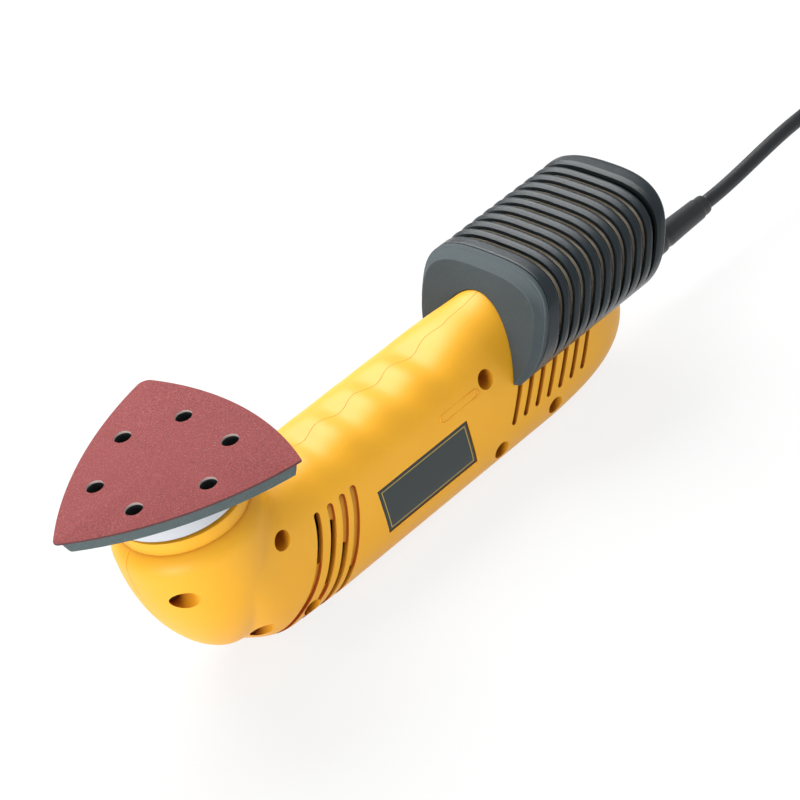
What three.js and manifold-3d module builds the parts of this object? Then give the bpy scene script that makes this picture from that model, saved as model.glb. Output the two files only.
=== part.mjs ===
// Corded detail sander with a three-cornered orbiting pad, lying on its back with the pad up.
// Millimetres. +X runs to the rear, where the cord leaves, +Y to the far side, +Z out of the abrasive face.
import * as THREE from 'three';
import { mergeVertices } from 'three/addons/utils/BufferGeometryUtils.js';
import Module from 'manifold-3d';

const wasm = await Module();
wasm.setup();

// Driving dimensions of the whole tool
const padTipReach = 52.3;
const padCornerReach = 28.6;
const padHalfWidth = 47.8;
const orbitThrow = 1;
const gripHalfWidth = 25.5;
const gripHalfHeight = 31;
const headRadius = 30.54;
const collarRadius = 26.3;
const tailEnd = 221;
const wall = 2.5;
const restFlatDepth = 0.5;
const boxHalfWidth = 36;
const boxOffset = 0.8;
const boxTop = 78.7;
const boxFront = 162;
const boxRear = 241;
const cordDiameter = 6.5;

// Clearances between neighbouring pieces, and the overrun of a cutter past the face that it cuts
const seat = 0.3;
const running = 0.05;
const overrun = 4;

// The motor's axis lies level in the grip, and the spindle stands on X = 0.
// What the spindle carries is stacked up from that axis, and the collar and the pad follow the stack.
const motorAxis = gripHalfHeight;
const crownBack = 14;
const upperBearingGap = 3;
const upperBearingWidth = 8;
const weightGap = 2.2;
const weightHeight = 8;
const spindleShoulder = 1.2;
const pinRun = 3.6;
const padBearingWidth = 7;
const padBearingProud = 1.5;
const skirtGap = 1.9;
const skirtReach = 6.5;
const plateThickness = 2;
const foamThickness = 6;
const sheetThickness = 1;
const upperBearingBottom = motorAxis + crownBack + upperBearingGap;
const upperBearingTop = upperBearingBottom + upperBearingWidth;
const weightBottom = upperBearingTop + weightGap;
const weightTop = weightBottom + weightHeight;
const spindleTop = weightTop + spindleShoulder;
const padBearingBottom = spindleTop + pinRun;
const padBearingTop = padBearingBottom + padBearingWidth;
const collarTop = padBearingTop - padBearingProud;
const skirtBottom = collarTop + skirtGap;
const plateBack = skirtBottom + skirtReach;
const plateTop = plateBack + plateThickness;
const foamBack = plateTop + seat;
const sheetBack = foamBack + foamThickness + seat;
const padFaceHeight = sheetBack + sheetThickness;

// Colours and finishes
function plastic(color, roughness) {
  return new THREE.MeshStandardMaterial({ color, roughness, metalness: 0 });
}

function metal(color, roughness) {
  return new THREE.MeshStandardMaterial({ color, roughness, metalness: 1 });
}

const yellowPlastic = plastic(0xf8b92e, 0.45);
const slatePlastic = plastic(0x353f44, 0.6);
const blackPlastic = plastic(0x1d2022, 0.5);
const whitePlastic = plastic(0xdedfe3, 0.35);
const labelPlastic = plastic(0x2b3136, 0.5);
const greyFoam = plastic(0x56666a, 0.95);
const redAbrasive = plastic(0xa95656, 0.95);
const filterPaper = plastic(0x9a7f5c, 0.95);
const cordRubber = plastic(0x22252a, 0.7);
const brightSteel = metal(0xb9bcc0, 0.35);
const darkSteel = metal(0x6a6d70, 0.45);
const castAlloy = metal(0x9fa2a5, 0.5);
const copper = metal(0xb87333, 0.4);
const brass = metal(0xc9a85a, 0.35);
const carbonBlack = plastic(0x2a2a2a, 0.8);

// Solids: every geometry is welded and turned to face outwards before it is joined or cut
function asSolid(geometry) {
  const bare = geometry.index ? geometry.toNonIndexed() : geometry.clone();
  bare.deleteAttribute('normal');
  bare.deleteAttribute('uv');
  const welded = mergeVertices(bare, 1e-4);
  const corners = Array.from(welded.index.array);
  const triVerts = [];
  for (let i = 0; i < corners.length; i += 3) {
    const [a, b, c] = corners.slice(i, i + 3);
    if (a !== b && b !== c && c !== a) triVerts.push(a, b, c);
  }
  const build = (order) => new wasm.Manifold(new wasm.Mesh({
    numProp: 3,
    vertProperties: new Float32Array(welded.attributes.position.array),
    triVerts: new Uint32Array(order),
  }));
  const solid = build(triVerts);
  if (solid.volume() > 0) return solid;
  return build(triVerts.reverse());
}

function asGeometry(solid) {
  const mesh = solid.getMesh();
  const geometry = new THREE.BufferGeometry();
  const positions = new Float32Array(mesh.vertProperties);
  geometry.setAttribute('position', new THREE.BufferAttribute(positions, mesh.numProp));
  geometry.setIndex(new THREE.BufferAttribute(new Uint32Array(mesh.triVerts), 1));
  geometry.computeVertexNormals();
  return geometry;
}

function join(...solids) {
  return solids.reduce((whole, next) => whole.add(next));
}

function cut(solid, ...cutters) {
  return cutters.reduce((rest, cutter) => rest.subtract(cutter), solid);
}

// A turned form: [radius, height] points about an upright axis, or [radius, station] points about a level one
function turnedUp(profile, segments) {
  const points = profile.map(([radius, height]) => new THREE.Vector2(radius, height));
  return asSolid(new THREE.LatheGeometry(points, segments).rotateX(Math.PI / 2));
}

function turnedLevel(profile, segments) {
  const points = profile.map(([radius, station]) => new THREE.Vector2(radius, station));
  return asSolid(new THREE.LatheGeometry(points, segments).rotateZ(-Math.PI / 2));
}

// A plain disc or ring as a turned profile
function tubeProfile(outer, inner, from, to) {
  return [[inner, from], [outer, from], [outer, to], [inner, to], [inner, from]];
}

function rodProfile(radius, from, to) {
  return [[0, from], [radius, from], [radius, to], [0, to]];
}

function block(fromX, toX, fromY, toY, fromZ, toZ) {
  const geometry = new THREE.BoxGeometry(toX - fromX, toY - fromY, toZ - fromZ);
  geometry.translate((fromX + toX) / 2, (fromY + toY) / 2, (fromZ + toZ) / 2);
  return asSolid(geometry);
}

// A flat outline of [x, y] points carried up from one height to another
function prismUp(outline, from, to, holes = []) {
  const shape = new THREE.Shape(outline.map(([x, y]) => new THREE.Vector2(x, y)));
  for (const hole of holes) shape.holes.push(new THREE.Path(hole.map(([x, y]) => new THREE.Vector2(x, y))));
  const geometry = new THREE.ExtrudeGeometry(shape, { depth: to - from, bevelEnabled: false });
  geometry.translate(0, 0, from);
  return asSolid(geometry);
}

// A side outline of [x, z] points carried across from one side to the other
function prismAcross(outline, from, to) {
  const shape = new THREE.Shape(outline.map(([x, z]) => new THREE.Vector2(x, z)));
  const geometry = new THREE.ExtrudeGeometry(shape, { depth: to - from, bevelEnabled: false });
  geometry.rotateX(Math.PI / 2);
  geometry.translate(0, to, 0);
  return asSolid(geometry);
}

// An end outline of [y, z] points carried along from one station to another
function prismAlong(outline, from, to) {
  const shape = new THREE.Shape(outline.map(([y, z]) => new THREE.Vector2(y, z)));
  const geometry = new THREE.ExtrudeGeometry(shape, { depth: to - from, bevelEnabled: false });
  geometry.rotateX(Math.PI / 2);
  geometry.rotateZ(Math.PI / 2);
  geometry.translate(from, 0, 0);
  return asSolid(geometry);
}

function circleOutline(x, y, radius, segments) {
  const outline = [];
  for (let i = 0; i < segments; i += 1) {
    const turn = (2 * Math.PI * i) / segments;
    outline.push([x + radius * Math.cos(turn), y + radius * Math.sin(turn)]);
  }
  return outline;
}

// An upright cylinder across the tool at a side position, for wells, bosses and screws
function pinAcross(x, z, radius, from, to, segments) {
  return prismAcross(circleOutline(x, z, radius, segments), from, to);
}

// A band between two radii and two angles, as an outline
function sectorOutline(x, y, inner, outer, fromAngle, toAngle, steps) {
  const outline = [];
  for (let i = 0; i <= steps; i += 1) {
    const turn = fromAngle + ((toAngle - fromAngle) * i) / steps;
    outline.push([x + outer * Math.cos(turn), y + outer * Math.sin(turn)]);
  }
  for (let i = steps; i >= 0; i -= 1) {
    const turn = fromAngle + ((toAngle - fromAngle) * i) / steps;
    outline.push([x + inner * Math.cos(turn), y + inner * Math.sin(turn)]);
  }
  return outline;
}

// A skin through rings of equal point counts, closed by a flat fan at each end
function loft(rings) {
  const count = rings[0].length;
  const positions = [];
  for (const ring of rings) for (const point of ring) positions.push(...point);
  const index = [];
  for (let i = 0; i + 1 < rings.length; i += 1) {
    for (let j = 0; j < count; j += 1) {
      const next = (j + 1) % count;
      const a = i * count + j;
      const b = i * count + next;
      const c = (i + 1) * count + next;
      const d = (i + 1) * count + j;
      index.push(a, b, c, a, c, d);
    }
  }
  const addCap = (ring, offset, flip) => {
    const centre = [0, 1, 2].map((axis) => ring.reduce((sum, point) => sum + point[axis], 0) / count);
    const hub = positions.length / 3;
    positions.push(...centre);
    for (let j = 0; j < count; j += 1) {
      const next = (j + 1) % count;
      if (flip) index.push(hub, offset + next, offset + j);
      else index.push(hub, offset + j, offset + next);
    }
  };
  addCap(rings[0], 0, true);
  addCap(rings[rings.length - 1], (rings.length - 1) * count, false);
  const geometry = new THREE.BufferGeometry();
  geometry.setAttribute('position', new THREE.Float32BufferAttribute(positions, 3));
  geometry.setIndex(index);
  return asSolid(geometry);
}

function mix(from, to, share) {
  return from + (to - from) * share;
}

// Eased 0 to 1 share of the way between two stations
function eased(value, from, to) {
  const share = Math.min(Math.max((value - from) / (to - from), 0), 1);
  return share * share * (3 - 2 * share);
}

function signedPower(value, power) {
  return Math.sign(value) * Math.abs(value) ** power;
}

function degrees(angle) {
  return (angle * Math.PI) / 180;
}

const tool = new THREE.Group();

function addPiece(name, solid, material, parent = tool) {
  const mesh = new THREE.Mesh(asGeometry(solid), material);
  mesh.name = name;
  parent.add(mesh);
  return mesh;
}

// Sanding pad: an abrasive sheet on a foam pad, on a white plate with a round skirt over the collar.
// It is drawn about its own centre, and the eccentric pin carries it.
const padRearSag = 9.2;
const padFrontSag = 8;
const foamInset = 1.6;
const foamTaper = 1.6;
const sheetCornerRadius = 2;
const dustHoleRing = 26.1;
const dustHoleRadius = 3.5;
const dustHoleSpread = degrees(32.6);
const skirtRadius = 26.5;
const skirtWall = 1.8;
const padHub = new THREE.Group();
padHub.position.x = -orbitThrow;
tool.add(padHub);

// Each side is an arc through two corners with its own bow; the corners run anticlockwise from the rear
// right one
const padCorners = [[padCornerReach, -padHalfWidth], [padCornerReach, padHalfWidth], [-padTipReach, 0]];
const padSags = [padRearSag, padFrontSag, padFrontSag];
const padArcs = padCorners.map(([x, y], i) => {
  const [nextX, nextY] = padCorners[(i + 1) % padCorners.length];
  const chord = Math.hypot(nextX - x, nextY - y);
  const radius = (chord ** 2 / 4 + padSags[i] ** 2) / (2 * padSags[i]);
  const out = [(nextY - y) / chord, (x - nextX) / chord];
  const back = radius - padSags[i];
  return { radius, x: (x + nextX) / 2 - out[0] * back, y: (y + nextY) / 2 - out[1] * back };
});

// The centre of a corner's fillet touches both arcs from inside; of the two crossings the nearer to the
// corner counts
function filletCentre(before, after, corner, inset, cornerRadius) {
  const reachBefore = before.radius - inset - cornerRadius;
  const reachAfter = after.radius - inset - cornerRadius;
  const spanX = after.x - before.x;
  const spanY = after.y - before.y;
  const span = Math.hypot(spanX, spanY);
  const along = (span ** 2 + reachBefore ** 2 - reachAfter ** 2) / (2 * span);
  const across = Math.sqrt(reachBefore ** 2 - along ** 2);
  const crossings = [across, -across].map((side) => [
    before.x + (along * spanX - side * spanY) / span,
    before.y + (along * spanY + side * spanX) / span,
  ]);
  const distance = ([x, y]) => Math.hypot(x - corner[0], y - corner[1]);
  return distance(crossings[0]) < distance(crossings[1]) ? crossings[0] : crossings[1];
}

function addArc(outline, x, y, radius, fromPoint, toPoint, steps, first) {
  const from = Math.atan2(fromPoint[1] - y, fromPoint[0] - x);
  const to = Math.atan2(toPoint[1] - y, toPoint[0] - x);
  const sweep = THREE.MathUtils.euclideanModulo(to - from, 2 * Math.PI);
  for (let i = first; i <= steps - first; i += 1) {
    const angle = from + (sweep * i) / steps;
    outline.push([x + radius * Math.cos(angle), y + radius * Math.sin(angle)]);
  }
}

// The outline of three bowed sides with rounded corners, drawn in by an inset
function padOutline(inset, cornerRadius, sideSteps, cornerSteps) {
  const count = padCorners.length;
  const fillets = padCorners.map((corner, i) =>
    filletCentre(padArcs[(i + count - 1) % count], padArcs[i], corner, inset, cornerRadius));
  const outline = [];
  for (let i = 0; i < count; i += 1) {
    const before = padArcs[(i + count - 1) % count];
    const side = padArcs[i];
    const fillet = fillets[i];
    const next = fillets[(i + 1) % count];
    const enter = [2 * fillet[0] - before.x, 2 * fillet[1] - before.y];
    const leave = [2 * fillet[0] - side.x, 2 * fillet[1] - side.y];
    addArc(outline, fillet[0], fillet[1], cornerRadius, enter, leave, cornerSteps, 0);
    addArc(outline, side.x, side.y, side.radius - inset, fillet, next, sideSteps, 1);
  }
  return outline;
}

const dustHoleAngles = [0, 1, 2].flatMap((side) => {
  const middle = (2 * Math.PI * side) / 3;
  return [middle - dustHoleSpread, middle + dustHoleSpread];
});

function dustHoles(radius, segments) {
  return dustHoleAngles.map((angle) =>
    circleOutline(dustHoleRing * Math.cos(angle), dustHoleRing * Math.sin(angle), radius, segments));
}

const padSideSteps = 8;
const padCornerSteps = 3;
const dustHoleSegments = 10;

const sheet = prismUp(
  padOutline(0, sheetCornerRadius, padSideSteps, padCornerSteps),
  sheetBack,
  padFaceHeight,
  dustHoles(dustHoleRadius, dustHoleSegments),
);
addPiece('abrasive_sheet', sheet, redAbrasive, padHub);

// The foam leans in towards its back, so its rings shrink from the sheet down
const hubPocketRadius = 8;
const foamFaceRing = padOutline(foamInset, sheetCornerRadius, padSideSteps, padCornerSteps);
const foamBackRing = padOutline(foamInset + foamTaper, sheetCornerRadius, padSideSteps, padCornerSteps);
const foamBlank = loft([
  foamBackRing.map(([x, y]) => [x, y, foamBack]),
  foamFaceRing.map(([x, y]) => [x, y, sheetBack - seat]),
]);
const foamCutters = dustHoles(dustHoleRadius, dustHoleSegments)
  .map((outline) => prismUp(outline, foamBack - overrun, sheetBack + overrun));
const hubPocketSegments = 12;
const hubPocket = turnedUp(
  rodProfile(hubPocketRadius, foamBack - overrun, sheetBack + overrun),
  hubPocketSegments,
);
addPiece('foam_pad', cut(foamBlank, hubPocket, ...foamCutters), greyFoam, padHub);

// Pad bearing seated in the plate's hub, on the eccentric pin
const pinRadius = 4;
const padBearingRadius = 11;
const hubWall = 2.6;
const hubLip = 1.5;
const ballBearingSegments = 16;

// The plate carries the foam; its six radial slots lead the dust from the holes into the skirt
const plateSlotHalfWidth = 2.6;
const plateSlotInner = 17.5;
const plateSlotOuter = 27;
const plateInset = 7;
const plateBlank = prismUp(
  padOutline(plateInset, sheetCornerRadius, padSideSteps, padCornerSteps),
  plateBack,
  plateTop,
);
const hubRadius = padBearingRadius + running + hubWall;
const skirtSegments = 32;
const skirt = turnedUp(
  tubeProfile(skirtRadius, skirtRadius - skirtWall, skirtBottom, plateBack + running),
  skirtSegments,
);
const hub = turnedUp([
  [padBearingRadius + running, padBearingBottom],
  [hubRadius, padBearingBottom],
  [hubRadius, plateBack + running],
  [hubPocketRadius, plateBack + running],
  [hubPocketRadius, padBearingTop + hubLip],
  [padBearingRadius - hubLip, padBearingTop + hubLip],
  [padBearingRadius - hubLip, padBearingTop + seat],
  [padBearingRadius + running, padBearingTop + seat],
  [padBearingRadius + running, padBearingBottom],
], ballBearingSegments);
const platePocket = turnedUp(
  rodProfile(hubPocketRadius, plateBack - overrun, plateTop + overrun),
  hubPocketSegments,
);
const plateSlots = dustHoleAngles.map((angle) => {
  const slotLength = plateSlotOuter - plateSlotInner;
  const geometry = new THREE.BoxGeometry(slotLength, 2 * plateSlotHalfWidth, 2 * plateThickness);
  geometry.translate((plateSlotOuter + plateSlotInner) / 2, 0, plateTop);
  geometry.rotateZ(angle);
  return asSolid(geometry);
});
const plateDiscBelowSlots = turnedUp(
  tubeProfile(skirtRadius, skirtRadius - skirtWall, plateBack, plateBack + plateThickness / 2),
  skirtSegments,
);
const padPlate = join(cut(join(plateBlank, skirt, plateDiscBelowSlots), platePocket, ...plateSlots), hub);
addPiece('pad_plate', padPlate, whitePlastic, padHub);

const padBearing = turnedUp(
  tubeProfile(padBearingRadius, pinRadius + seat, padBearingBottom + seat, padBearingTop),
  ballBearingSegments,
);
addPiece('pad_bearing', padBearing, brightSteel, padHub);

// Bevel gears: straight teeth that run to a common apex, where the motor's axis meets the spindle
const pinionTeeth = 12;
const crownTeeth = 24;
const coneDistance = 17.9;
const faceWidth = 5.4;
const addendumAngle = degrees(4);
const dedendumAngle = degrees(5);
const toothRootSink = degrees(1.5);
const toothRootShare = 0.5;
const toothTipShare = 0.2;

// One tooth has four flanks: its section, at the outer end, is scaled towards the apex for the inner end
function bevelTooth(coneAngle, teeth, phase) {
  const pitch = (2 * Math.PI) / teeth;
  const levels = [
    [coneAngle - dedendumAngle - toothRootSink, toothRootShare],
    [coneAngle + addendumAngle, toothTipShare],
  ];
  const ends = [coneDistance - faceWidth, coneDistance].map((reach) => {
    const left = levels.map(([cone, share]) => [cone, phase - (pitch * share) / 2]);
    const right = levels.map(([cone, share]) => [cone, phase + (pitch * share) / 2]).reverse();
    return [...left, ...right].map(([cone, turn]) => [
      reach * Math.sin(cone) * Math.cos(turn),
      reach * Math.sin(cone) * Math.sin(turn),
      reach * Math.cos(cone),
    ]);
  });
  return loft(ends);
}

function bevelGear(coneAngle, teeth, phase, bodyProfile, segments) {
  const toothed = Array.from({ length: teeth }, (_, i) =>
    bevelTooth(coneAngle, teeth, phase + (2 * Math.PI * i) / teeth));
  return join(turnedUp(bodyProfile, segments), ...toothed);
}

const pinionCone = Math.atan(pinionTeeth / crownTeeth);
const crownCone = Math.PI / 2 - pinionCone;
const spindleRadius = 5;
const crownRoot = crownCone - dedendumAngle;
const crownInner = coneDistance - faceWidth;
const crownSegments = 24;
const crownProfile = [
  [spindleRadius + seat, crownInner * Math.cos(crownRoot)],
  [crownInner * Math.sin(crownRoot), crownInner * Math.cos(crownRoot)],
  [coneDistance * Math.sin(crownRoot), coneDistance * Math.cos(crownRoot)],
  [coneDistance * Math.sin(crownRoot), crownBack],
  [spindleRadius + seat, crownBack],
  [spindleRadius + seat, crownInner * Math.cos(crownRoot)],
];
const crownGear = bevelGear(crownCone, crownTeeth, Math.PI / crownTeeth, crownProfile, crownSegments);
const crownMesh = addPiece('crown_gear', crownGear, darkSteel);
crownMesh.position.z = motorAxis;

const shaftRadius = 4;
const pinionRoot = pinionCone - dedendumAngle;
const pinionSegments = 12;
const pinionProfile = [
  [shaftRadius + seat, crownInner * Math.cos(pinionRoot)],
  [crownInner * Math.sin(pinionRoot), crownInner * Math.cos(pinionRoot)],
  [coneDistance * Math.sin(pinionRoot), coneDistance * Math.cos(pinionRoot)],
  [coneDistance * Math.sin(pinionRoot), coneDistance * Math.cos(pinionRoot) + seat],
  [shaftRadius + seat, coneDistance * Math.cos(pinionRoot) + seat],
  [shaftRadius + seat, crownInner * Math.cos(pinionRoot)],
];
const pinionGear = bevelGear(pinionCone, pinionTeeth, Math.PI, pinionProfile, pinionSegments);
const pinionMesh = addPiece('bevel_pinion', pinionGear, darkSteel);
pinionMesh.position.z = motorAxis;
pinionMesh.rotation.y = Math.PI / 2;

// Spindle: lower journal, gear seat, upper journal, and the eccentric pin that carries the pad
const lowerJournalRadius = 3;
const lowerBearingRadius = 5;
const lowerBearingBottom = 21.5;
const lowerBearingLength = 6;
const lowerBearingTop = lowerBearingBottom + lowerBearingLength;
const upperBearingRadius = 13;
const padScrewHeadHeight = 3;
const padScrewHeadRadius = 5.5;
const padScrewShankRadius = 2;
const spindleSegments = ballBearingSegments;

const spindleStem = turnedUp([
  [0, lowerBearingBottom],
  [lowerJournalRadius, lowerBearingBottom],
  [lowerJournalRadius, lowerBearingTop + seat],
  [spindleRadius, lowerBearingTop + seat + (spindleRadius - lowerJournalRadius)],
  [spindleRadius, spindleTop],
  [0, spindleTop],
], spindleSegments);
const eccentricPin = turnedUp([
  [padScrewShankRadius + running, spindleTop],
  [pinRadius, spindleTop],
  [pinRadius, padBearingTop],
  [padScrewShankRadius + running, padBearingTop],
  [padScrewShankRadius + running, spindleTop],
], spindleSegments).translate([-orbitThrow, 0, 0]);
const pinRoot = turnedUp(rodProfile(pinRadius, weightTop, spindleTop + running), spindleSegments)
  .translate([-orbitThrow, 0, 0]);
addPiece('spindle', join(spindleStem, pinRoot, eccentricPin), brightSteel);

const padScrew = turnedUp([
  [0, spindleTop + seat],
  [padScrewShankRadius, spindleTop + seat],
  [padScrewShankRadius, padBearingTop + seat],
  [padScrewHeadRadius, padBearingTop + seat],
  [padScrewHeadRadius, padBearingTop + seat + padScrewHeadHeight],
  [0, padBearingTop + seat + padScrewHeadHeight],
], spindleSegments);
const padScrewMesh = addPiece('pad_screw', padScrew, darkSteel);
padScrewMesh.position.x = -orbitThrow;

const lowerBearing = turnedUp(
  tubeProfile(lowerBearingRadius, lowerJournalRadius + seat, lowerBearingBottom, lowerBearingTop),
  ballBearingSegments,
);
addPiece('spindle_bearing_lower', lowerBearing, brightSteel);
const upperBearing = turnedUp(
  tubeProfile(upperBearingRadius, spindleRadius + seat, upperBearingBottom, upperBearingTop),
  ballBearingSegments,
);
addPiece('spindle_bearing_upper', upperBearing, brightSteel);

// Balance weight: a heavy sector opposite the pin's throw, on a ring about the spindle
const weightRadius = 19;
const weightRingRadius = 8.5;
const weightSpread = degrees(62);
const weightSteps = 10;
const weightRing = turnedUp(
  tubeProfile(weightRingRadius, spindleRadius + running, weightBottom, weightTop),
  spindleSegments,
);
const weightSector = prismUp(
  sectorOutline(
    0, 0, (spindleRadius + weightRingRadius) / 2, weightRadius, -weightSpread, weightSpread, weightSteps,
  ),
  weightBottom,
  weightTop,
);
addPiece('balance_weight', join(weightRing, weightSector), darkSteel);

// Motor: armature on its shaft, turning about the motor's axis. Stations are distances from the spindle.
const frontBearingStation = 22;
const frontBearingWidth = 7;
const frontBearingRadius = 11;
const fanStation = 33;
const fanWidth = 11;
const fanRadius = 20.5;
const baffleStation = 46;
const baffleThickness = 2.5;
const coreStation = 58;
const coreLength = 36;
const coreRadius = 13.3;
const windingLength = 6;
const windingRadius = 12.2;
const commutatorStation = 104;
const commutatorLength = 12;
const commutatorRadius = 8.5;
const rearBearingStation = 119.5;
const rearBearingWidth = 6;
const rearBearingRadius = 9.5;
const rearJournalRadius = 3;
const shaftSegments = ballBearingSegments;
const motor = new THREE.Group();
motor.position.z = motorAxis;
tool.add(motor);

const shaft = turnedLevel([
  [0, crownInner * Math.cos(pinionRoot)],
  [shaftRadius, crownInner * Math.cos(pinionRoot)],
  [shaftRadius, rearBearingStation - seat],
  [rearJournalRadius, rearBearingStation - seat],
  [rearJournalRadius, rearBearingStation + rearBearingWidth],
  [0, rearBearingStation + rearBearingWidth],
], shaftSegments);
addPiece('armature_shaft', shaft, brightSteel, motor);

// Laminated core with slots for the windings: a toothed outline carried along the shaft
const coreSlots = 12;
const coreToothShare = 0.7;
const coreSlotRadius = 10.4;
const coreOutline = [];
for (let i = 0; i < coreSlots; i += 1) {
  const pitch = (2 * Math.PI) / coreSlots;
  const toothHalf = (pitch * coreToothShare) / 2;
  for (const [radius, offset] of [
    [coreSlotRadius, -toothHalf],
    [coreRadius, -toothHalf],
    [coreRadius, toothHalf],
    [coreSlotRadius, toothHalf],
  ]) {
    coreOutline.push([radius * Math.cos(i * pitch + offset), radius * Math.sin(i * pitch + offset)]);
  }
}
const shaftBore = turnedLevel(rodProfile(shaftRadius + running, 0, tailEnd), shaftSegments);
const core = cut(prismAlong(coreOutline, coreStation, coreStation + coreLength), shaftBore);
addPiece('armature_core', core, darkSteel, motor);

// End windings bulge out beside the core
const windingShares = [[0.7, 0], [1, 0.3], [0.96, 0.75], [0.75, 1]];
function endWinding(from, towards) {
  const outer = windingShares.map(([radius, along]) =>
    [windingRadius * radius, from + towards * windingLength * along]);
  const profile = [
    [shaftRadius + running, from],
    ...outer,
    [shaftRadius + running, from + towards * windingLength],
    [shaftRadius + running, from]];
  return turnedLevel(profile, ballBearingSegments);
}
addPiece('armature_winding_front', endWinding(coreStation - seat, -1), copper, motor);
addPiece('armature_winding_rear', endWinding(coreStation + coreLength + seat, 1), copper, motor);

// Commutator: copper bars with slits between them, and a riser at the winding end
const commutatorBars = 8;
const barSlitHalfWidth = 0.3;
const barSlitDepth = 1.2;
const riserRadius = 10;
const riserLength = 1.6;
const commutatorBlank = turnedLevel([
  [shaftRadius + running, commutatorStation],
  [riserRadius, commutatorStation],
  [riserRadius, commutatorStation + riserLength],
  [commutatorRadius, commutatorStation + riserLength],
  [commutatorRadius, commutatorStation + commutatorLength],
  [shaftRadius + running, commutatorStation + commutatorLength],
  [shaftRadius + running, commutatorStation],
], ballBearingSegments);
const barSlits = Array.from({ length: commutatorBars }, (_, i) => {
  const geometry = new THREE.BoxGeometry(commutatorLength, 2 * barSlitHalfWidth, 2 * barSlitDepth);
  geometry.translate(commutatorStation + riserLength + commutatorLength / 2, 0, commutatorRadius);
  geometry.rotateX((2 * Math.PI * (i + 1 / 2)) / commutatorBars);
  return asSolid(geometry);
});
addPiece('commutator', cut(commutatorBlank, ...barSlits), copper, motor);

// Cooling fan: a backplate with a hub and radial blades that blow out through the grooves beside it
const fanBlades = 8;
const fanBladeThickness = 1.2;
const fanPlateThickness = 1.4;
const fanHubRadius = 7;
const fanBladeInner = 6;
const fanHub = turnedLevel([
  [shaftRadius + running, fanStation],
  [fanRadius, fanStation],
  [fanRadius, fanStation + fanPlateThickness],
  [fanHubRadius, fanStation + fanPlateThickness],
  [fanHubRadius, fanStation + fanWidth],
  [shaftRadius + running, fanStation + fanWidth],
  [shaftRadius + running, fanStation],
], skirtSegments);
const blades = Array.from({ length: fanBlades }, (_, i) => {
  const geometry = new THREE.BoxGeometry(
    fanWidth - fanPlateThickness / 2,
    fanBladeThickness,
    fanRadius - fanBladeInner,
  );
  geometry.translate(
    fanStation + fanPlateThickness / 2 + (fanWidth - fanPlateThickness / 2) / 2,
    0,
    (fanRadius + fanBladeInner) / 2,
  );
  geometry.rotateX((2 * Math.PI * i) / fanBlades);
  return asSolid(geometry);
});
addPiece('cooling_fan', join(fanHub, ...blades), blackPlastic, motor);

const frontBearing = turnedLevel(
  tubeProfile(
    frontBearingRadius,
    shaftRadius + seat,
    frontBearingStation,
    frontBearingStation + frontBearingWidth,
  ),
  ballBearingSegments,
);
addPiece('motor_bearing_front', frontBearing, brightSteel, motor);
const rearBearing = turnedLevel(
  tubeProfile(
    rearBearingRadius,
    rearJournalRadius + seat,
    rearBearingStation,
    rearBearingStation + rearBearingWidth,
  ),
  ballBearingSegments,
);
addPiece('motor_bearing_rear', rearBearing, brightSteel, motor);

// Stator: a laminated ring with a pole on each side, and room above and below for the field coils
const statorStation = 56;
const statorLength = 40;
const statorRadius = 21.8;
const poleBore = 13.9;
const coilPocketRadius = 18.6;
const poleHalfAngle = degrees(50);
const statorSegments = 24;
const statorSteps = 6;
const coilPocket = (turn) => sectorOutline(
  0,
  0,
  poleBore - overrun,
  coilPocketRadius,
  turn - (Math.PI / 2 - poleHalfAngle),
  turn + (Math.PI / 2 - poleHalfAngle),
  statorSteps,
);
const statorBlank = turnedLevel(
  tubeProfile(statorRadius, poleBore, statorStation, statorStation + statorLength),
  statorSegments,
);
const stator = cut(
  statorBlank,
  prismAlong(coilPocket(Math.PI / 2), statorStation - overrun, statorStation + statorLength + overrun),
  prismAlong(coilPocket(-Math.PI / 2), statorStation - overrun, statorStation + statorLength + overrun),
);
addPiece('stator_core', stator, darkSteel, motor);

// Each field coil is a saddle round one pole: two runs through the pockets, joined by an arc past each end
const fieldInner = 14.3;
const fieldOuter = 18.2;
const fieldOverhang = 4.6;
const fieldRunAngle = degrees(17);
const fieldSteps = 7;
function fieldCoil(side) {
  const start = poleHalfAngle + degrees(3);
  const middle = side > 0 ? 0 : Math.PI;
  const endArc = sectorOutline(
    0,
    0,
    fieldInner,
    fieldOuter,
    middle - start - fieldRunAngle,
    middle + start + fieldRunAngle,
    fieldSteps,
  );
  const run = (sign) => sectorOutline(
    0, 0, fieldInner, fieldOuter,
    middle + sign * start, middle + sign * (start + fieldRunAngle), 3,
  );
  const from = statorStation - fieldOverhang;
  const to = statorStation + statorLength + fieldOverhang;
  return join(
    prismAlong(endArc, from, statorStation - seat),
    prismAlong(endArc, to - fieldOverhang + seat, to),
    prismAlong(run(1), from, to),
    prismAlong(run(-1), from, to),
  );
}
addPiece('field_coil_right', fieldCoil(-1), copper, motor);
addPiece('field_coil_left', fieldCoil(1), copper, motor);

// Brush gear: a brass box on each side of the commutator with its carbon brush and spring inside
const brushStation = 110.5;
const brushHalfLength = 3;
const brushHalfHeight = 2.6;
const brushLength = 5.6;
const brushBoxWall = 1;
const brushBoxInner = 11;
const brushBoxOuter = 21.2;
const brushTip = commutatorRadius + seat;
const springWireRadius = 0.4;
const springRadius = 1.7;
const springTurns = 2.5;
const springSteps = 8;
const springSides = 4;

function brushBox(halfLength, halfHeight, from, to) {
  return block(
    brushStation - halfLength, brushStation + halfLength, from, to, -halfHeight, halfHeight,
  );
}

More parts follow.
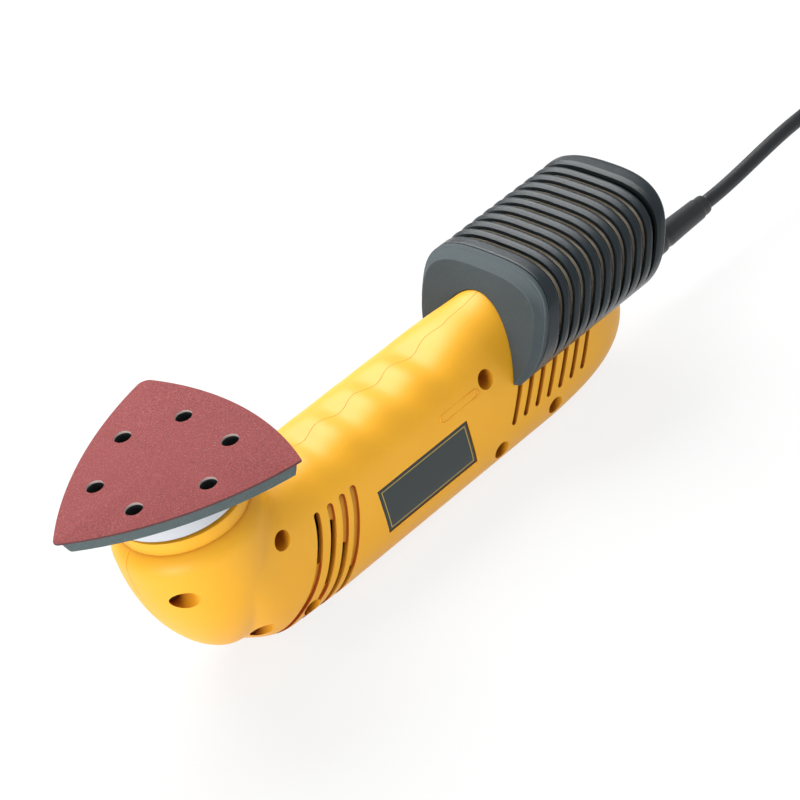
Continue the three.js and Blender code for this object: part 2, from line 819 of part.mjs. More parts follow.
function brushSpring(from, to) {
  const points = [];
  const count = springTurns * springSteps;
  for (let i = 0; i <= count; i += 1) {
    const turn = (2 * Math.PI * i) / springSteps;
    points.push(new THREE.Vector3(
      brushStation + springRadius * Math.cos(turn),
      mix(from, to, i / count),
      springRadius * Math.sin(turn),
    ));
  }
  const wireOutline = circleOutline(0, 0, springWireRadius, springSides);
  const section = new THREE.Shape(wireOutline.map(([x, y]) => new THREE.Vector2(x, y)));
  const path = new THREE.CatmullRomCurve3(points);
  return asSolid(new THREE.ExtrudeGeometry(
    section,
    { steps: count, bevelEnabled: false, extrudePath: path },
  ));
}

for (const [sideName, side] of [['right', -1], ['left', 1]]) {
  const tube = cut(
    brushBox(
      brushHalfLength + seat + brushBoxWall,
      brushHalfHeight + seat + brushBoxWall,
      brushBoxInner,
      brushBoxOuter,
    ),
    brushBox(
      brushHalfLength + seat,
      brushHalfHeight + seat,
      brushBoxInner - overrun,
      brushBoxOuter - brushBoxWall,
    ),
  );
  const brush = brushBox(brushHalfLength, brushHalfHeight, brushTip, brushTip + brushLength);
  const spring = brushSpring(
    brushTip + brushLength + springWireRadius + seat,
    brushBoxOuter - brushBoxWall - springWireRadius - seat,
  );
  const turn = side > 0 ? 0 : Math.PI;
  for (const [name, solid, material] of [
    ['brush_holder', tube, brass],
    ['carbon_brush', brush, carbonBlack],
    ['brush_spring', spring, brightSteel],
  ]) {
    const geometry = asGeometry(solid);
    geometry.translate(-brushStation, 0, 0);
    geometry.rotateZ(turn);
    geometry.translate(brushStation, 0, 0);
    const mesh = new THREE.Mesh(geometry, material);
    mesh.name = `${name}_${sideName}`;
    motor.add(mesh);
  }
}

// Housing form: a grip whose section is a squarish oval with its finger waves on the pad side, a turned head,
// and at the rear a rounder neck that leans back into the dust box
const gripPower = 3;
const neckPower = 1.9;
const neckRise = 4.2;
const neckStart = 118;
const boxSlant = 0.47;
const rearSlant = 0.38;
const waveHeight = 0.8;
const wavePitch = 19.8;
const waveFirst = 67;
const waveFrom = 52;
const waveTo = 134;
const waveFade = 8;
const tailStart = 163;
const tailPower = 2.85;
const tailRise = 3.2;
const gripRingPoints = 24;
const cavityRingPoints = 12;
const cavitySegments = 20;
const headBlend = 46;
const headBlendBelow = 13;
const headBlendInset = 0.1;
const headBlendRise = 4;
const boxCrownDepth = 2.2;
const boxTopLine = boxTop - boxCrownDepth;
const neckFoot = boxFront - boxSlant * (boxTopLine - motorAxis);

function waveAt(x) {
  const fade = eased(x, waveFrom - waveFade, waveFrom) * (1 - eased(x, waveTo, waveTo + waveFade));
  return waveHeight * fade * Math.cos((2 * Math.PI * (x - waveFirst)) / wavePitch);
}

// Near the head the ring starts as the bowl's own side view, so that head and grip flow into each other
function gripRing(station, inset, points = gripRingPoints) {
  const neck = eased(station, neckStart, neckFoot);
  const lean = boxSlant * neck;
  const tailReach = Math.min(Math.max((station - tailStart) / (tailEnd - tailStart), 0), 1);
  const tail = (1 - tailReach ** tailPower) ** (1 / tailPower);
  const headAbove = 1 - eased(station, 0, headBlend);
  const headBelow = 1 - eased(station, 0, headBlendBelow);
  const power = mix(gripPower, neckPower, neck);
  const ring = [];
  for (let i = 0; i < points; i += 1) {
    const turn = (2 * Math.PI * i) / points;
    const upper = i <= points / 2;
    const across = Math.cos(turn);
    const up = Math.sin(turn);
    const exponent = 2 / (upper ? power : gripPower);
    const halfWidth = gripHalfWidth * tail - inset;
    const rise = upper ? neckRise * neck + waveAt(station) : restFlatDepth;
    const halfHeight = (gripHalfHeight + rise) * tail - inset;
    const gripY = halfWidth * signedPower(across, exponent);
    const gripZ = motorAxis + tailRise * tailReach + halfHeight * signedPower(up, exponent);
    const headPower = upper ? exponent : 2 / bowlWidthPower;
    const headY = (headRadius - inset - headBlendInset) * signedPower(across, headPower);
    const headZ = bowlTop + (upper
      ? (headBlendRise - inset) * signedPower(up, exponent)
      : (bowlTop - bowlBottom - inset * 1.5) * signedPower(up, 2 / bowlDepthPower));
    const head = mix(headBelow, headAbove, (1 + Math.sign(up) * Math.abs(up) ** 2) / 2);
    const y = mix(gripY, headY, head);
    const z = mix(gripZ, headZ, head);
    ring.push([station + lean * Math.max(z - motorAxis, 0), y, z]);
  }
  return ring;
}

const wavesSteps = 4;
const headBlendStep = 9;
const gripStations = [];
for (let x = 0; x < headBlend - headBlendStep / 2; x += headBlendStep) gripStations.push(x);
gripStations.push(headBlend);
const waveLast = Math.min(waveTo + waveFade / 2, neckStart);
for (let x = waveFirst - wavePitch * 0.75; x < waveLast; x += wavePitch / wavesSteps) {
  if (x > headBlend) gripStations.push(x);
}
const neckSteps = 4;
for (let i = 0; i <= neckSteps; i += 1) {
  gripStations.push(mix(neckStart + waveFade / 4, neckFoot, i / neckSteps));
}
const tailSteps = 8;
gripStations.push(mix(neckFoot, tailStart, 0.5));
const tailShares = [0, 0.2, 0.4, 0.55, 0.7, 0.82, 0.91, 0.97];
for (let i = 0; i < tailSteps; i += 1) gripStations.push(mix(tailStart, tailEnd, tailShares[i]));

const headSegments = 36;
const bowlTop = 63.2;
const bowlBottom = 4;
const bowlWidthPower = 1.49;
const bowlDepthPower = 2.25;
const bowlSteps = 8;
const collarFoot = 71;
const collarLean = 0.6;
const shoulderShares = [[0.968, 0.42], [0.915, 0.8]];

// The bowl of the head: wide at the top and drawn in to a blunt point below
function bowlPoint(turn) {
  return [
    headRadius * Math.cos(turn) ** (2 / bowlWidthPower),
    bowlTop - (bowlTop - bowlBottom) * Math.sin(turn) ** (2 / bowlDepthPower),
  ];
}

function headProfile(inset) {
  const bowl = [];
  for (let i = bowlSteps; i >= 0; i -= 1) {
    const [radius, height] = bowlPoint((Math.PI / 2) * (i / bowlSteps) ** 0.8);
    if (i === bowlSteps) bowl.push([0, bowlBottom + inset * 1.2]);
    else if (radius > 2 * inset) bowl.push([radius - inset, height + inset * 0.35 * (i / bowlSteps)]);
  }
  const shoulder = shoulderShares.map(([radius, share]) => [
    headRadius * radius - inset,
    mix(bowlTop, collarFoot, share) - inset / 2,
  ]);
  return [
    ...bowl,
    ...shoulder,
    [collarRadius - collarLean - inset, collarFoot - inset / 2],
    [collarRadius - inset, collarTop - (inset > 0 ? -overrun : 0)],
    [0, collarTop - (inset > 0 ? -overrun : 0)],
  ];
}

const gripForm = loft(gripStations.map((station) => gripRing(station, 0)));
const headForm = turnedUp(headProfile(0), headSegments);
const outerForm = join(gripForm, headForm);

const cavityRearShare = 0.75;
const cavityRear = mix(tailStart, tailEnd, cavityRearShare);
const cavityStations = gripStations.filter((station, i) =>
  (station <= headBlend && i % 2 === 0)
  || station === headBlend
  || (station > neckStart && station < cavityRear));
const gripCavity = loft(cavityStations.map((station) => gripRing(station, wall, cavityRingPoints)));
const headCavity = turnedUp(headProfile(wall), cavitySegments);
const cavity = join(gripCavity, headCavity);
const insideStations = gripStations.filter((station, i) =>
  (station <= headBlend && i % 2 === 0) || station === headBlend || station > neckStart);
const insideForm = join(
  loft(insideStations.map((station) => gripRing(station, wall / 2, cavityRingPoints))),
  turnedUp(headProfile(wall / 2), cavitySegments),
);

// Vents: four curved grooves on each side beside the fan, and seven leaning slots on each side of the tail
const grooveCentre = [-34.2, 63.7];
const grooveRadii = [74.9, 81.8, 88, 93.6];
const grooveHalfWidth = 1.5;
const grooveFrom = degrees(-52);
const grooveTopHeight = 48.4;
const grooveDepth = 1.2;
const slitAngles = [[-26.8, -12.4], [-34, -16.8], [-39, -24.5], [-38.5, -31.5]];
const slitHalfWidth = 1.15;
const grooveSteps = 6;
const slitSteps = 3;
const tailSlots = 7;
const tailSlotFirst = 146.8;
const tailSlotPitch = 6.85;
const tailSlotTop = 34.5;
const tailSlotBottom = 20;
const tailSlotLean = 0.57;
const tailSlotHalfWidth = 1.25;
const ventReach = headRadius + overrun;

function grooveBand(radius, halfWidth, from, to, steps) {
  return sectorOutline(
    grooveCentre[0],
    grooveCentre[1],
    radius - halfWidth,
    radius + halfWidth,
    from,
    to,
    steps,
  );
}

const slits = grooveRadii.flatMap((radius, i) => {
  const [from, to] = slitAngles[i].map(degrees);
  const outline = grooveBand(radius, slitHalfWidth, from, to, slitSteps);
  return [
    prismAcross(outline, -ventReach, -gripHalfWidth / 2),
    prismAcross(outline, gripHalfWidth / 2, ventReach),
  ];
});

const tailSlotCutters = Array.from({ length: tailSlots }, (_, i) => {
  const top = tailSlotFirst + i * tailSlotPitch;
  const bottom = top - tailSlotLean * (tailSlotTop - tailSlotBottom);
  const outline = [
    [bottom - tailSlotHalfWidth, tailSlotBottom + tailSlotHalfWidth],
    [bottom, tailSlotBottom],
    [bottom + tailSlotHalfWidth, tailSlotBottom + tailSlotHalfWidth],
    [top + tailSlotHalfWidth, tailSlotTop],
    [top - tailSlotHalfWidth, tailSlotTop],
  ];
  return [
    prismAcross(outline, -ventReach, -gripHalfWidth / 2),
    prismAcross(outline, gripHalfWidth / 2, ventReach),
  ];
}).flat();

// Shallow grooves are cut by what lies outside the grip drawn in by their depth
const grooveSkin = loft(gripStations.slice(0, 12).map((station) => gripRing(station, grooveDepth)));
const headSkin = turnedUp(headProfile(grooveDepth), headSegments);
const grooveCutters = grooveRadii.flatMap((radius) => {
  const grooveTo = Math.asin((grooveTopHeight - grooveCentre[1]) / radius);
  const outline = grooveBand(radius, grooveHalfWidth, grooveFrom, grooveTo, grooveSteps);
  return [
    prismAcross(outline, -ventReach, -gripHalfWidth / 2),
    prismAcross(outline, gripHalfWidth / 2, ventReach),
  ];
}).map((cutter) => cut(cutter, grooveSkin, headSkin));

// Screw places as [station, height], all driven from the near side into bosses
const screwPlaces = [
  [132.4, 47.4], [130.9, 11.8], [162.9, 12.3], [20.5, 50.5], [-22.3, 51.4], [4.1, 12.7], [25.6, 9.3],
];
const wellRadius = 4;
const bossRadius = 5.2;
const wellFloor = 9;
const screwHeadRadius = 3.4;
const screwHeadHeight = 2.4;
const screwShankRadius = 1.6;
const screwHoleRadius = 1.9;
const screwEnd = 8;
const wellSegments = 12;
const bossSegments = 8;
const shankSegments = 8;
const bossReach = headRadius + overrun;

// Ribs and seats inside the housing
const bulkheadThickness = 3;
const bearingSeatWall = 3;
const ribThickness = 2;
const ribSegments = 24;
const ribHeight = 1;
const statorRibStations = [statorStation + 6, statorStation + statorLength - 8];
const headRibHeight = 2.4;
const caseDiscLip = 1;
const headRibTop = upperBearingBottom - caseDiscLip - seat;
const headRibInner = 23.2;
const rearSeatTo = rearBearingStation + rearBearingWidth;

const bulkhead = join(
  block(
    rearSeatTo,
    rearSeatTo + bulkheadThickness,
    -headRadius,
    headRadius,
    -overrun,
    2 * gripHalfHeight + overrun,
  ),
  turnedLevel(
    tubeProfile(
      rearBearingRadius + seat + bearingSeatWall,
      rearBearingRadius + seat,
      rearBearingStation,
      rearSeatTo + running,
    ),
    ballBearingSegments,
  ).translate([0, 0, motorAxis]),
);
const statorRibs = statorRibStations.map((station) => cut(
  block(station, station + ribThickness, -headRadius, headRadius, -overrun, 2 * gripHalfHeight + overrun),
  turnedLevel(
    rodProfile(statorRadius + seat, station - overrun, station + ribThickness + overrun),
    ribSegments,
  )
    .translate([0, 0, motorAxis]),
));
const headRib = cut(
  block(-headRadius, headRadius / 5, -headRadius, headRadius, headRibTop - headRibHeight, headRibTop),
  turnedUp(rodProfile(headRibInner, headRibTop - overrun, headRibTop + overrun), headSegments),
);

// The rear wall holds the strain relief, whose flange sits in a slotted block
const reliefAxis = 26.5;
const reliefRadius = 6;
const reliefFlangeRadius = 8.5;
const reliefFlangeThickness = 3;
const reliefFlangeStation = 200;
const reliefSeatFrom = 195;
const reliefSeat = block(reliefSeatFrom, tailEnd, -headRadius, headRadius, -overrun, 2 * gripHalfHeight);
const reliefBore = turnedLevel(
  rodProfile(reliefRadius + seat, reliefSeatFrom - overrun, tailEnd + overrun),
  spindleSegments,
)
  .translate([0, 0, reliefAxis]);
const reliefSlot = turnedLevel(
  rodProfile(
    reliefFlangeRadius + seat,
    reliefFlangeStation - seat,
    reliefFlangeStation + reliefFlangeThickness + seat,
  ),
  spindleSegments,
).translate([0, 0, reliefAxis]);

// A shelf in front of that wall carries the cord clamp on a screw each side of the cord
const clampFrom = 185;
const clampTo = 192;
const shelfMargin = 1;
const clampScrewSpread = 9;
const clampScrewShank = 1.3;
const clampScrewHead = 2.7;
const clampScrewHeadHeight = 1.8;
const clampScrewDepth = 10;
const clampBarHalfWidth = 13;
const clampBarHeight = 3;
const cordRadius = cordDiameter / 2;
const shelfTop = reliefAxis - cordRadius - seat;
const clampBarBottom = reliefAxis + cordRadius + seat;
const clampMiddle = (clampFrom + clampTo) / 2;
const clampShelf = block(
  clampFrom - shelfMargin,
  clampTo + shelfMargin,
  -headRadius,
  headRadius,
  -overrun,
  shelfTop,
);
const clampScrewHoles = [-clampScrewSpread, clampScrewSpread].map((y) => turnedUp(
  rodProfile(clampScrewShank + seat, clampBarBottom - clampScrewDepth - 2 * seat, clampBarBottom),
  shankSegments,
).translate([clampMiddle, y, 0]));

// Dust outlet through the crown of the neck, inside the dust box
const outletFrom = 178;
const outletTo = 192;
const outletHalfWidth = 9;
const dustOutlet = block(
  outletFrom,
  outletTo,
  -outletHalfWidth,
  outletHalfWidth,
  motorAxis + gripHalfHeight / 2,
  boxTop,
);

// Slide switch on the far side: a recess for the button, a slot for its stem, a way for its link
const switchStation = 92;
const switchHeight = 40.5;
const switchTravel = 5;
const buttonLength = 18;
const buttonWidth = 8;
const buttonProud = 1.8;
const recessDepth = 1.3;
const recessMargin = 2;
const stemLength = 6;
const stemHalfHeight = 1.6;
const linkFrom = 86;
const linkTo = 136;
const linkInner = brushBoxOuter + seat;
const linkThickness = 1.2;
const recessHalfLength = (buttonLength + switchTravel) / 2 + recessMargin;
const recessHalfHeight = buttonWidth / 2 + recessMargin / 2;
const recessSkin = loft(gripStations.filter((station) => station > waveFrom && station < neckStart)
  .map((station) => gripRing(station, recessDepth)));
const switchRecess = cut(
  block(
    switchStation - switchTravel / 2 - recessHalfLength,
    switchStation - switchTravel / 2 + recessHalfLength,
    gripHalfWidth / 2,
    ventReach,
    switchHeight - recessHalfHeight,
    switchHeight + recessHalfHeight,
  ),
  recessSkin,
);
const stemSlot = block(
  switchStation - stemLength / 2 - switchTravel - seat,
  switchStation + stemLength / 2 + seat,
  gripHalfWidth / 2,
  ventReach,
  switchHeight - stemHalfHeight - seat,
  switchHeight + stemHalfHeight + seat,
);
const linkWay = block(
  linkFrom - switchTravel - overrun,
  linkTo + overrun,
  linkInner - seat,
  linkInner + linkThickness + seat,
  switchHeight - stemHalfHeight - seat,
  switchHeight + stemHalfHeight + seat,
);

// Label plate on the near side, in a shallow recess that follows the grip
const labelFrom = 67.5;
const labelTo = 116.5;
const labelTop = 38.2;
const labelBottom = 17.4;
const labelThickness = 0.6;
const labelRecessDepth = 1;
function labelOutline(margin) {
  return [
    [labelFrom - margin, labelBottom - margin],
    [labelTo + margin, labelBottom - margin],
    [labelTo + margin, labelTop + margin],
    [labelFrom - margin, labelTop + margin],
  ];
}
const labelStations = gripStations.filter((station) => station > waveFrom && station < neckStart + waveFade);
const labelSkin = loft(labelStations.map((station) => gripRing(station, labelRecessDepth)));
const labelRecess = cut(prismAcross(labelOutline(seat), -ventReach, -gripHalfWidth / 2), labelSkin);
const labelPlate = prismAcross(labelOutline(0), -ventReach, -gripHalfWidth / 2)
  .intersect(loft(labelStations.map((station) => gripRing(station, seat / 3))))
  .subtract(loft(labelStations.map((station) => gripRing(station, seat / 3 + labelThickness))));
addPiece('label_plate', labelPlate, labelPlastic);

// The whole housing, flat on its back, before it is split down the middle
const floorCut = block(-2 * headRadius, 2 * tailEnd, -2 * headRadius, 2 * headRadius, -2 * overrun, 0);
const collarSegments = 48;
const collarMouth = turnedUp(
  rodProfile(collarRadius - wall, collarFoot - overrun, collarTop + overrun),
  collarSegments,
);
const shell = cut(outerForm, cavity, collarMouth);
const inside = join(bulkhead, ...statorRibs, headRib, reliefSeat, clampShelf).intersect(insideForm);
const bosses = screwPlaces.map(([x, z]) => pinAcross(x, z, bossRadius, -bossReach, bossReach, bossSegments));
const screwBosses = join(...bosses).intersect(insideForm);
const housing = cut(
  join(shell, inside, screwBosses),
  reliefBore,
  reliefSlot,
  ...clampScrewHoles,
  dustOutlet,
  ...slits,
  ...tailSlotCutters,
  ...grooveCutters,
  labelRecess,
  switchRecess,
  stemSlot,
  linkWay,
  floorCut,
);

const splitGap = 0.1;
const nearHalfSpace = block(
  -2 * headRadius,
  2 * tailEnd,
  -2 * headRadius,
  -splitGap,
  -overrun,
  2 * padFaceHeight,
);
const farHalfSpace = block(
  -2 * headRadius,
  2 * tailEnd,
  splitGap,
  2 * headRadius,
  -overrun,
  2 * padFaceHeight,
);
const wells = screwPlaces.map(([x, z]) => join(
  pinAcross(x, z, wellRadius, -bossReach - overrun, -wellFloor, wellSegments),
  pinAcross(x, z, screwHoleRadius, -wellFloor - overrun, overrun, shankSegments),
));
const pilotHoles = screwPlaces.map(([x, z]) =>
  pinAcross(x, z, screwHoleRadius, -overrun, screwEnd + seat, shankSegments));
const rightHousing = cut(housing.intersect(nearHalfSpace), ...wells);
const leftHousing = cut(housing.intersect(farHalfSpace), ...pilotHoles);
addPiece('right_housing', rightHousing, yellowPlastic);
addPiece('left_housing', leftHousing, yellowPlastic);

screwPlaces.forEach(([x, z], i) => {
  const screw = join(
    pinAcross(x, z, screwHeadRadius, -wellFloor - screwHeadHeight, -wellFloor - running, wellSegments),
    pinAcross(x, z, screwShankRadius, -wellFloor - screwHeadHeight / 2, screwEnd, shankSegments),
  );
  addPiece(`housing_screw_${i + 1}`, screw, darkSteel);
});

// Gear case: a cast frame that holds both spindle bearings and the motor's front bearing.
// The upper disc rests on the housing's head rib; the sides and a cross bar carry the lower bush.
const caseDiscRadius = 24.9;
const caseDiscBottom = upperBearingBottom - caseDiscLip;
const caseDiscCover = 1.5;
const caseDiscTop = upperBearingTop + caseDiscCover;
const caseCheekInner = 18.3;
const caseCheekOuter = 20.9;
const caseYokeFront = -5.5;
const caseYokeRear = 8.5;
const caseShoulder = 34;
const caseFootOuter = 15;
const caseFootInner = 12;
const caseRearFrom = 20.6;
const caseRearTo = 30.4;
const caseRearLip = 1;
const caseRearFoot = 12;
const caseRearBottom = 17;
const caseLowerBoss = 8;
const caseBottom = lowerBearingBottom - seat;
const crossBarHeight = 3.4;
const bossClear = bossRadius + seat;
const caseYoke = [
  [-caseCheekOuter, caseDiscBottom + running],
  [-caseCheekOuter, caseShoulder],
  [-caseFootOuter, caseBottom],
  [caseFootOuter, caseBottom],
  [caseCheekOuter, caseShoulder],
  [caseCheekOuter, caseDiscBottom + running],
  [caseCheekInner, caseDiscBottom + running],
  [caseCheekInner, caseShoulder],
  [caseFootInner, caseBottom + crossBarHeight],
  [-caseFootInner, caseBottom + crossBarHeight],
  [-caseCheekInner, caseShoulder],
  [-caseCheekInner, caseDiscBottom + running],
];
const caseRearPlate = [
  [-caseCheekOuter, caseDiscBottom + running],
  [-caseCheekOuter, caseShoulder],
  [-caseRearFoot, caseRearBottom],
  [caseRearFoot, caseRearBottom],
  [caseCheekOuter, caseShoulder],
  [caseCheekOuter, caseDiscBottom + running],
];
const gearCaseBlank = join(
  turnedUp(rodProfile(caseDiscRadius, caseDiscBottom, caseDiscTop), skirtSegments),
  prismAlong(caseYoke, caseYokeFront, caseYokeRear),
  prismAlong(caseRearPlate, caseRearFrom, caseRearTo),
  block(caseYokeFront, caseRearTo, caseCheekInner, caseCheekOuter, caseShoulder, caseDiscBottom + running),
  block(caseYokeFront, caseRearTo, -caseCheekOuter, -caseCheekInner, caseShoulder, caseDiscBottom + running),
  turnedUp(rodProfile(caseLowerBoss, caseBottom, lowerBearingTop + seat), ballBearingSegments),
);
const gearCase = cut(
  gearCaseBlank,
  turnedUp(
    rodProfile(upperBearingRadius + running, upperBearingBottom - running, caseDiscTop + overrun),
    ballBearingSegments,
  ),
  turnedUp(
    rodProfile(spindleRadius + wall, caseBottom + crossBarHeight + overrun, caseDiscTop),
    ballBearingSegments,
  ),
  turnedUp(
    rodProfile(lowerBearingRadius + running, lowerBearingBottom - running, lowerBearingTop + overrun),
    ballBearingSegments,
  ),
  turnedLevel(
    rodProfile(frontBearingRadius + running, caseRearFrom + caseRearLip, caseRearTo + overrun),
    ballBearingSegments,
  ).translate([0, 0, motorAxis]),
  turnedLevel(rodProfile(frontBearingRadius - wall, caseRearFrom - overrun, caseRearTo), ballBearingSegments)
    .translate([0, 0, motorAxis]),
  ...screwPlaces.map(([x, z]) => pinAcross(x, z, bossClear, -bossReach, bossReach, wellSegments)),
);
addPiece('gear_case', gearCase, castAlloy);

// Baffle: a wall across the grip that gives the fan its round inlet
const baffleInlet = 13;
const baffleForm = loft(cavityStations.map((station) => gripRing(station, wall + seat, cavityRingPoints)));
const baffle = cut(
  block(
    baffleStation,
    baffleStation + baffleThickness,
    -headRadius,
    headRadius,
    0,
    collarTop,
  ).intersect(baffleForm),
  turnedLevel(
    rodProfile(baffleInlet, baffleStation - overrun, baffleStation + baffleThickness + overrun),
    ballBearingSegments,
  )
    .translate([0, 0, motorAxis]),
);
addPiece('fan_baffle', baffle, blackPlastic);

// Slide switch: button outside, stem through the slot, link along the wall to the switch behind the motor
const buttonStations = gripStations.filter((station) => station > waveFrom && station < neckStart + waveFade);
const buttonRidges = 3;
const ridgePitch = 4;
const ridgeHalfWidth = 0.6;
const ridgeDepth = 0.7;
const buttonCap = cut(
  block(
    switchStation - buttonLength / 2, switchStation + buttonLength / 2,
    gripHalfWidth / 2, ventReach,
    switchHeight - buttonWidth / 2, switchHeight + buttonWidth / 2,
  ).intersect(loft(buttonStations.map((station) => gripRing(station, -buttonProud)))),
  loft(buttonStations.map((station) => gripRing(station, recessDepth - seat))),
);
const ridgeCutters = Array.from({ length: buttonRidges }, (_, i) => {
  const station = switchStation + (i - (buttonRidges - 1) / 2) * ridgePitch;
  return block(
    station - ridgeHalfWidth, station + ridgeHalfWidth,
    gripHalfWidth + buttonProud - ridgeDepth - buttonProud / 2, ventReach,
    switchHeight - buttonWidth, switchHeight + buttonWidth,
  );
});
const button = join(
  cut(buttonCap, ...ridgeCutters),
  block(
    switchStation - stemLength / 2, switchStation + stemLength / 2,
    linkInner, gripHalfWidth - recessDepth / 2,
    switchHeight - stemHalfHeight, switchHeight + stemHalfHeight,
  ),
  block(
    linkFrom,
    linkTo,
    linkInner,
    linkInner + linkThickness,
    switchHeight - stemHalfHeight,
    switchHeight + stemHalfHeight,
  ),
);
addPiece('switch_button', button, slatePlastic);

const switchBodyFrom = 137.5;
const switchBodyLength = 20;
const switchBodyClear = 3;
const switchBodyWidth = 15;
const switchBodyHeight = 20;
const switchBody = block(
  switchBodyFrom, switchBodyFrom + switchBodyLength,
  gripHalfWidth - wall - switchBodyClear - switchBodyWidth, gripHalfWidth - wall - switchBodyClear,
  motorAxis - switchBodyHeight / 2, motorAxis + switchBodyHeight / 2,
);
addPiece('switch_body', switchBody, blackPlastic);

// Dust box form: a section with a crowned top and sides that tuck in to the tail, leaning like the neck
const boxWaist = 57;
const boxTuckDepth = 30;
const boxPower = 3.1;
const boxBottom = 37.4;
const plateBottom = 35.6;
const rearBow = 3.5;
const rearBowDepth = 9;

function boxRing(station, inset, bottom, points) {
  const slant = mix(boxSlant, rearSlant, eased(station, boxFront, boxFront + (boxRear - boxFront) / 3));
  const halfWidth = boxHalfWidth - inset;
  const rise = boxTop - boxWaist - inset;
  const tuck = boxTuckDepth;
  const foot = -Math.asin(Math.min((boxWaist - bottom) / tuck, 1));
  const ring = [];
  for (let i = 0; i < points; i += 1) {
    const turn = mix(foot, Math.PI - foot, i / (points - 1));
    const upper = Math.sin(turn) >= 0;
    const exponent = upper ? 2 / boxPower : 1;
    const y = halfWidth * signedPower(Math.cos(turn), exponent);
    const z = boxWaist + (upper ? rise : tuck) * signedPower(Math.sin(turn), exponent);
    const bow = rearBow * eased(station, boxRear - rearBowDepth, boxRear) * (y / boxHalfWidth) ** 2;
    ring.push([station + slant * (z - boxTopLine) - bow, y - boxOffset, z]);
  }
  return ring;
}

// Front plate of the dust box: a bevelled face with an arch that the neck passes through
const plateDepth = 4.8;
const plateBevel = 3.4;
const plateBevelDepth = 2.2;
const boxPoints = 19;
const neckClear = 0.4;
const archStations = [
  neckFoot - wavePitch,
  neckFoot - wavePitch / 2,
  neckFoot,
  neckFoot + wavePitch / 2,
  neckFoot + wavePitch,
];
const archForm = loft(archStations.map((station) => gripRing(station, -neckClear)));
const frontPlateBlank = loft([
  boxRing(boxFront, plateBevel, plateBottom, boxPoints),
  boxRing(boxFront + plateBevelDepth * 0.4, plateBevel * 0.4, plateBottom, boxPoints),
  boxRing(boxFront + plateBevelDepth, 0, plateBottom, boxPoints),
  boxRing(boxFront + plateDepth, 0, plateBottom, boxPoints),
]);
addPiece('dust_box_front', cut(frontPlateBlank, archForm), slatePlastic);

// Ribbed cage: ten leaning slots run over the top and down both sides, and leave eleven ribs
const boxWall = 2.2;
const slotFirst = 174.3;
const slotPitch = 6.19;
const slotHalfWidth = 1;
const slotWide = 60;
const slotPoint = 42;
const rearRound = 4;
const rearWall = 2.4;
const boxSlots = Math.floor((boxRear - rearWall - slotFirst) / slotPitch + 1 / 2);
const cageFront = boxFront + plateDepth + seat;
const cageOuter = loft([
  boxRing(cageFront, 0, boxBottom, boxPoints),
  boxRing(mix(cageFront, boxRear, 0.35), 0, boxBottom, boxPoints),
  boxRing(boxRear - rearRound, 0, boxBottom, boxPoints),
  boxRing(boxRear - rearRound * 0.35, rearRound * 0.3, boxBottom, boxPoints),
  boxRing(boxRear, rearRound, boxBottom, boxPoints),
]);
const cageInner = loft([
  boxRing(cageFront - overrun, boxWall, boxBottom - overrun, boxPoints),
  boxRing(mix(cageFront, boxRear, 0.35), boxWall, boxBottom - overrun, boxPoints),
  boxRing(boxRear - rearWall, boxWall, boxBottom - overrun, boxPoints),
]);
const tailStations = gripStations.filter((station) => station > neckStart);
const tailClear = loft(tailStations.map((station) => gripRing(station, -neckClear)));
const slotCutters = Array.from({ length: boxSlots }, (_, i) => {
  const station = slotFirst + i * slotPitch;
  const at = (z) => station + rearSlant * (z - boxTopLine);
  const high = boxTop + overrun;
  return prismAcross([
    [at(slotPoint), slotPoint],
    [at(slotWide) + slotHalfWidth, slotWide],
    [at(high) + slotHalfWidth, high],
    [at(high) - slotHalfWidth, high],
    [at(slotWide) - slotHalfWidth, slotWide],
  ], -boxHalfWidth - 2 * overrun, boxHalfWidth + 2 * overrun);
});
addPiece('dust_box_cage', cut(cageOuter, cageInner, tailClear, ...slotCutters), slatePlastic);

// Pleated filter: a saddle-shaped sleeve under the cage whose crests stand under the slots
const filterGap = 0.5;
const pleatDepth = 2.6;
const filterBack = 5;
const filterBottom = 47;
const filterPoints = 10;
function filterRing(station, outerInset) {
  const outer = boxRing(station, boxWall + outerInset, filterBottom, filterPoints);
  const inner = boxRing(station, boxWall + filterBack, filterBottom, filterPoints).reverse();
  return [...outer, ...inner];
}
const filterRings = [];
for (let i = 0; i < boxSlots; i += 1) {
  const station = slotFirst + i * slotPitch;
  filterRings.push(filterRing(station - slotPitch / 2, filterGap + pleatDepth));
  filterRings.push(filterRing(station, filterGap));
}
filterRings.push(filterRing(slotFirst + (boxSlots - 1 / 2) * slotPitch - seat, filterGap + pleatDepth));
addPiece('pleated_filter', cut(loft(filterRings), tailClear), filterPaper);

// Cord clamp: a bar across the cord, held down by two screws
const clampBar = cut(
  block(
    clampFrom,
    clampTo,
    -clampBarHalfWidth,
    clampBarHalfWidth,
    clampBarBottom,
    clampBarBottom + clampBarHeight,
  ),
  ...[-clampScrewSpread, clampScrewSpread].map((y) => turnedUp(
    rodProfile(clampScrewShank + seat, clampBarBottom - overrun, clampBarBottom + clampBarHeight + overrun),
    shankSegments,
  ).translate([clampMiddle, y, 0])),
);
addPiece('cord_clamp', clampBar, slatePlastic);
[-clampScrewSpread, clampScrewSpread].forEach((y, i) => {
  const headFoot = clampBarBottom + clampBarHeight;
  const screw = turnedUp([
    [0, clampBarBottom - clampScrewDepth],
    [clampScrewShank, clampBarBottom - clampScrewDepth],
    [clampScrewShank, headFoot],
    [clampScrewHead, headFoot],
    [clampScrewHead, headFoot + clampScrewHeadHeight],
    [0, headFoot + clampScrewHeadHeight],
  ], shankSegments);
  const mesh = addPiece(`clamp_screw_${i + 1}`, screw, darkSteel);
  mesh.position.set(clampMiddle, y, 0);
});

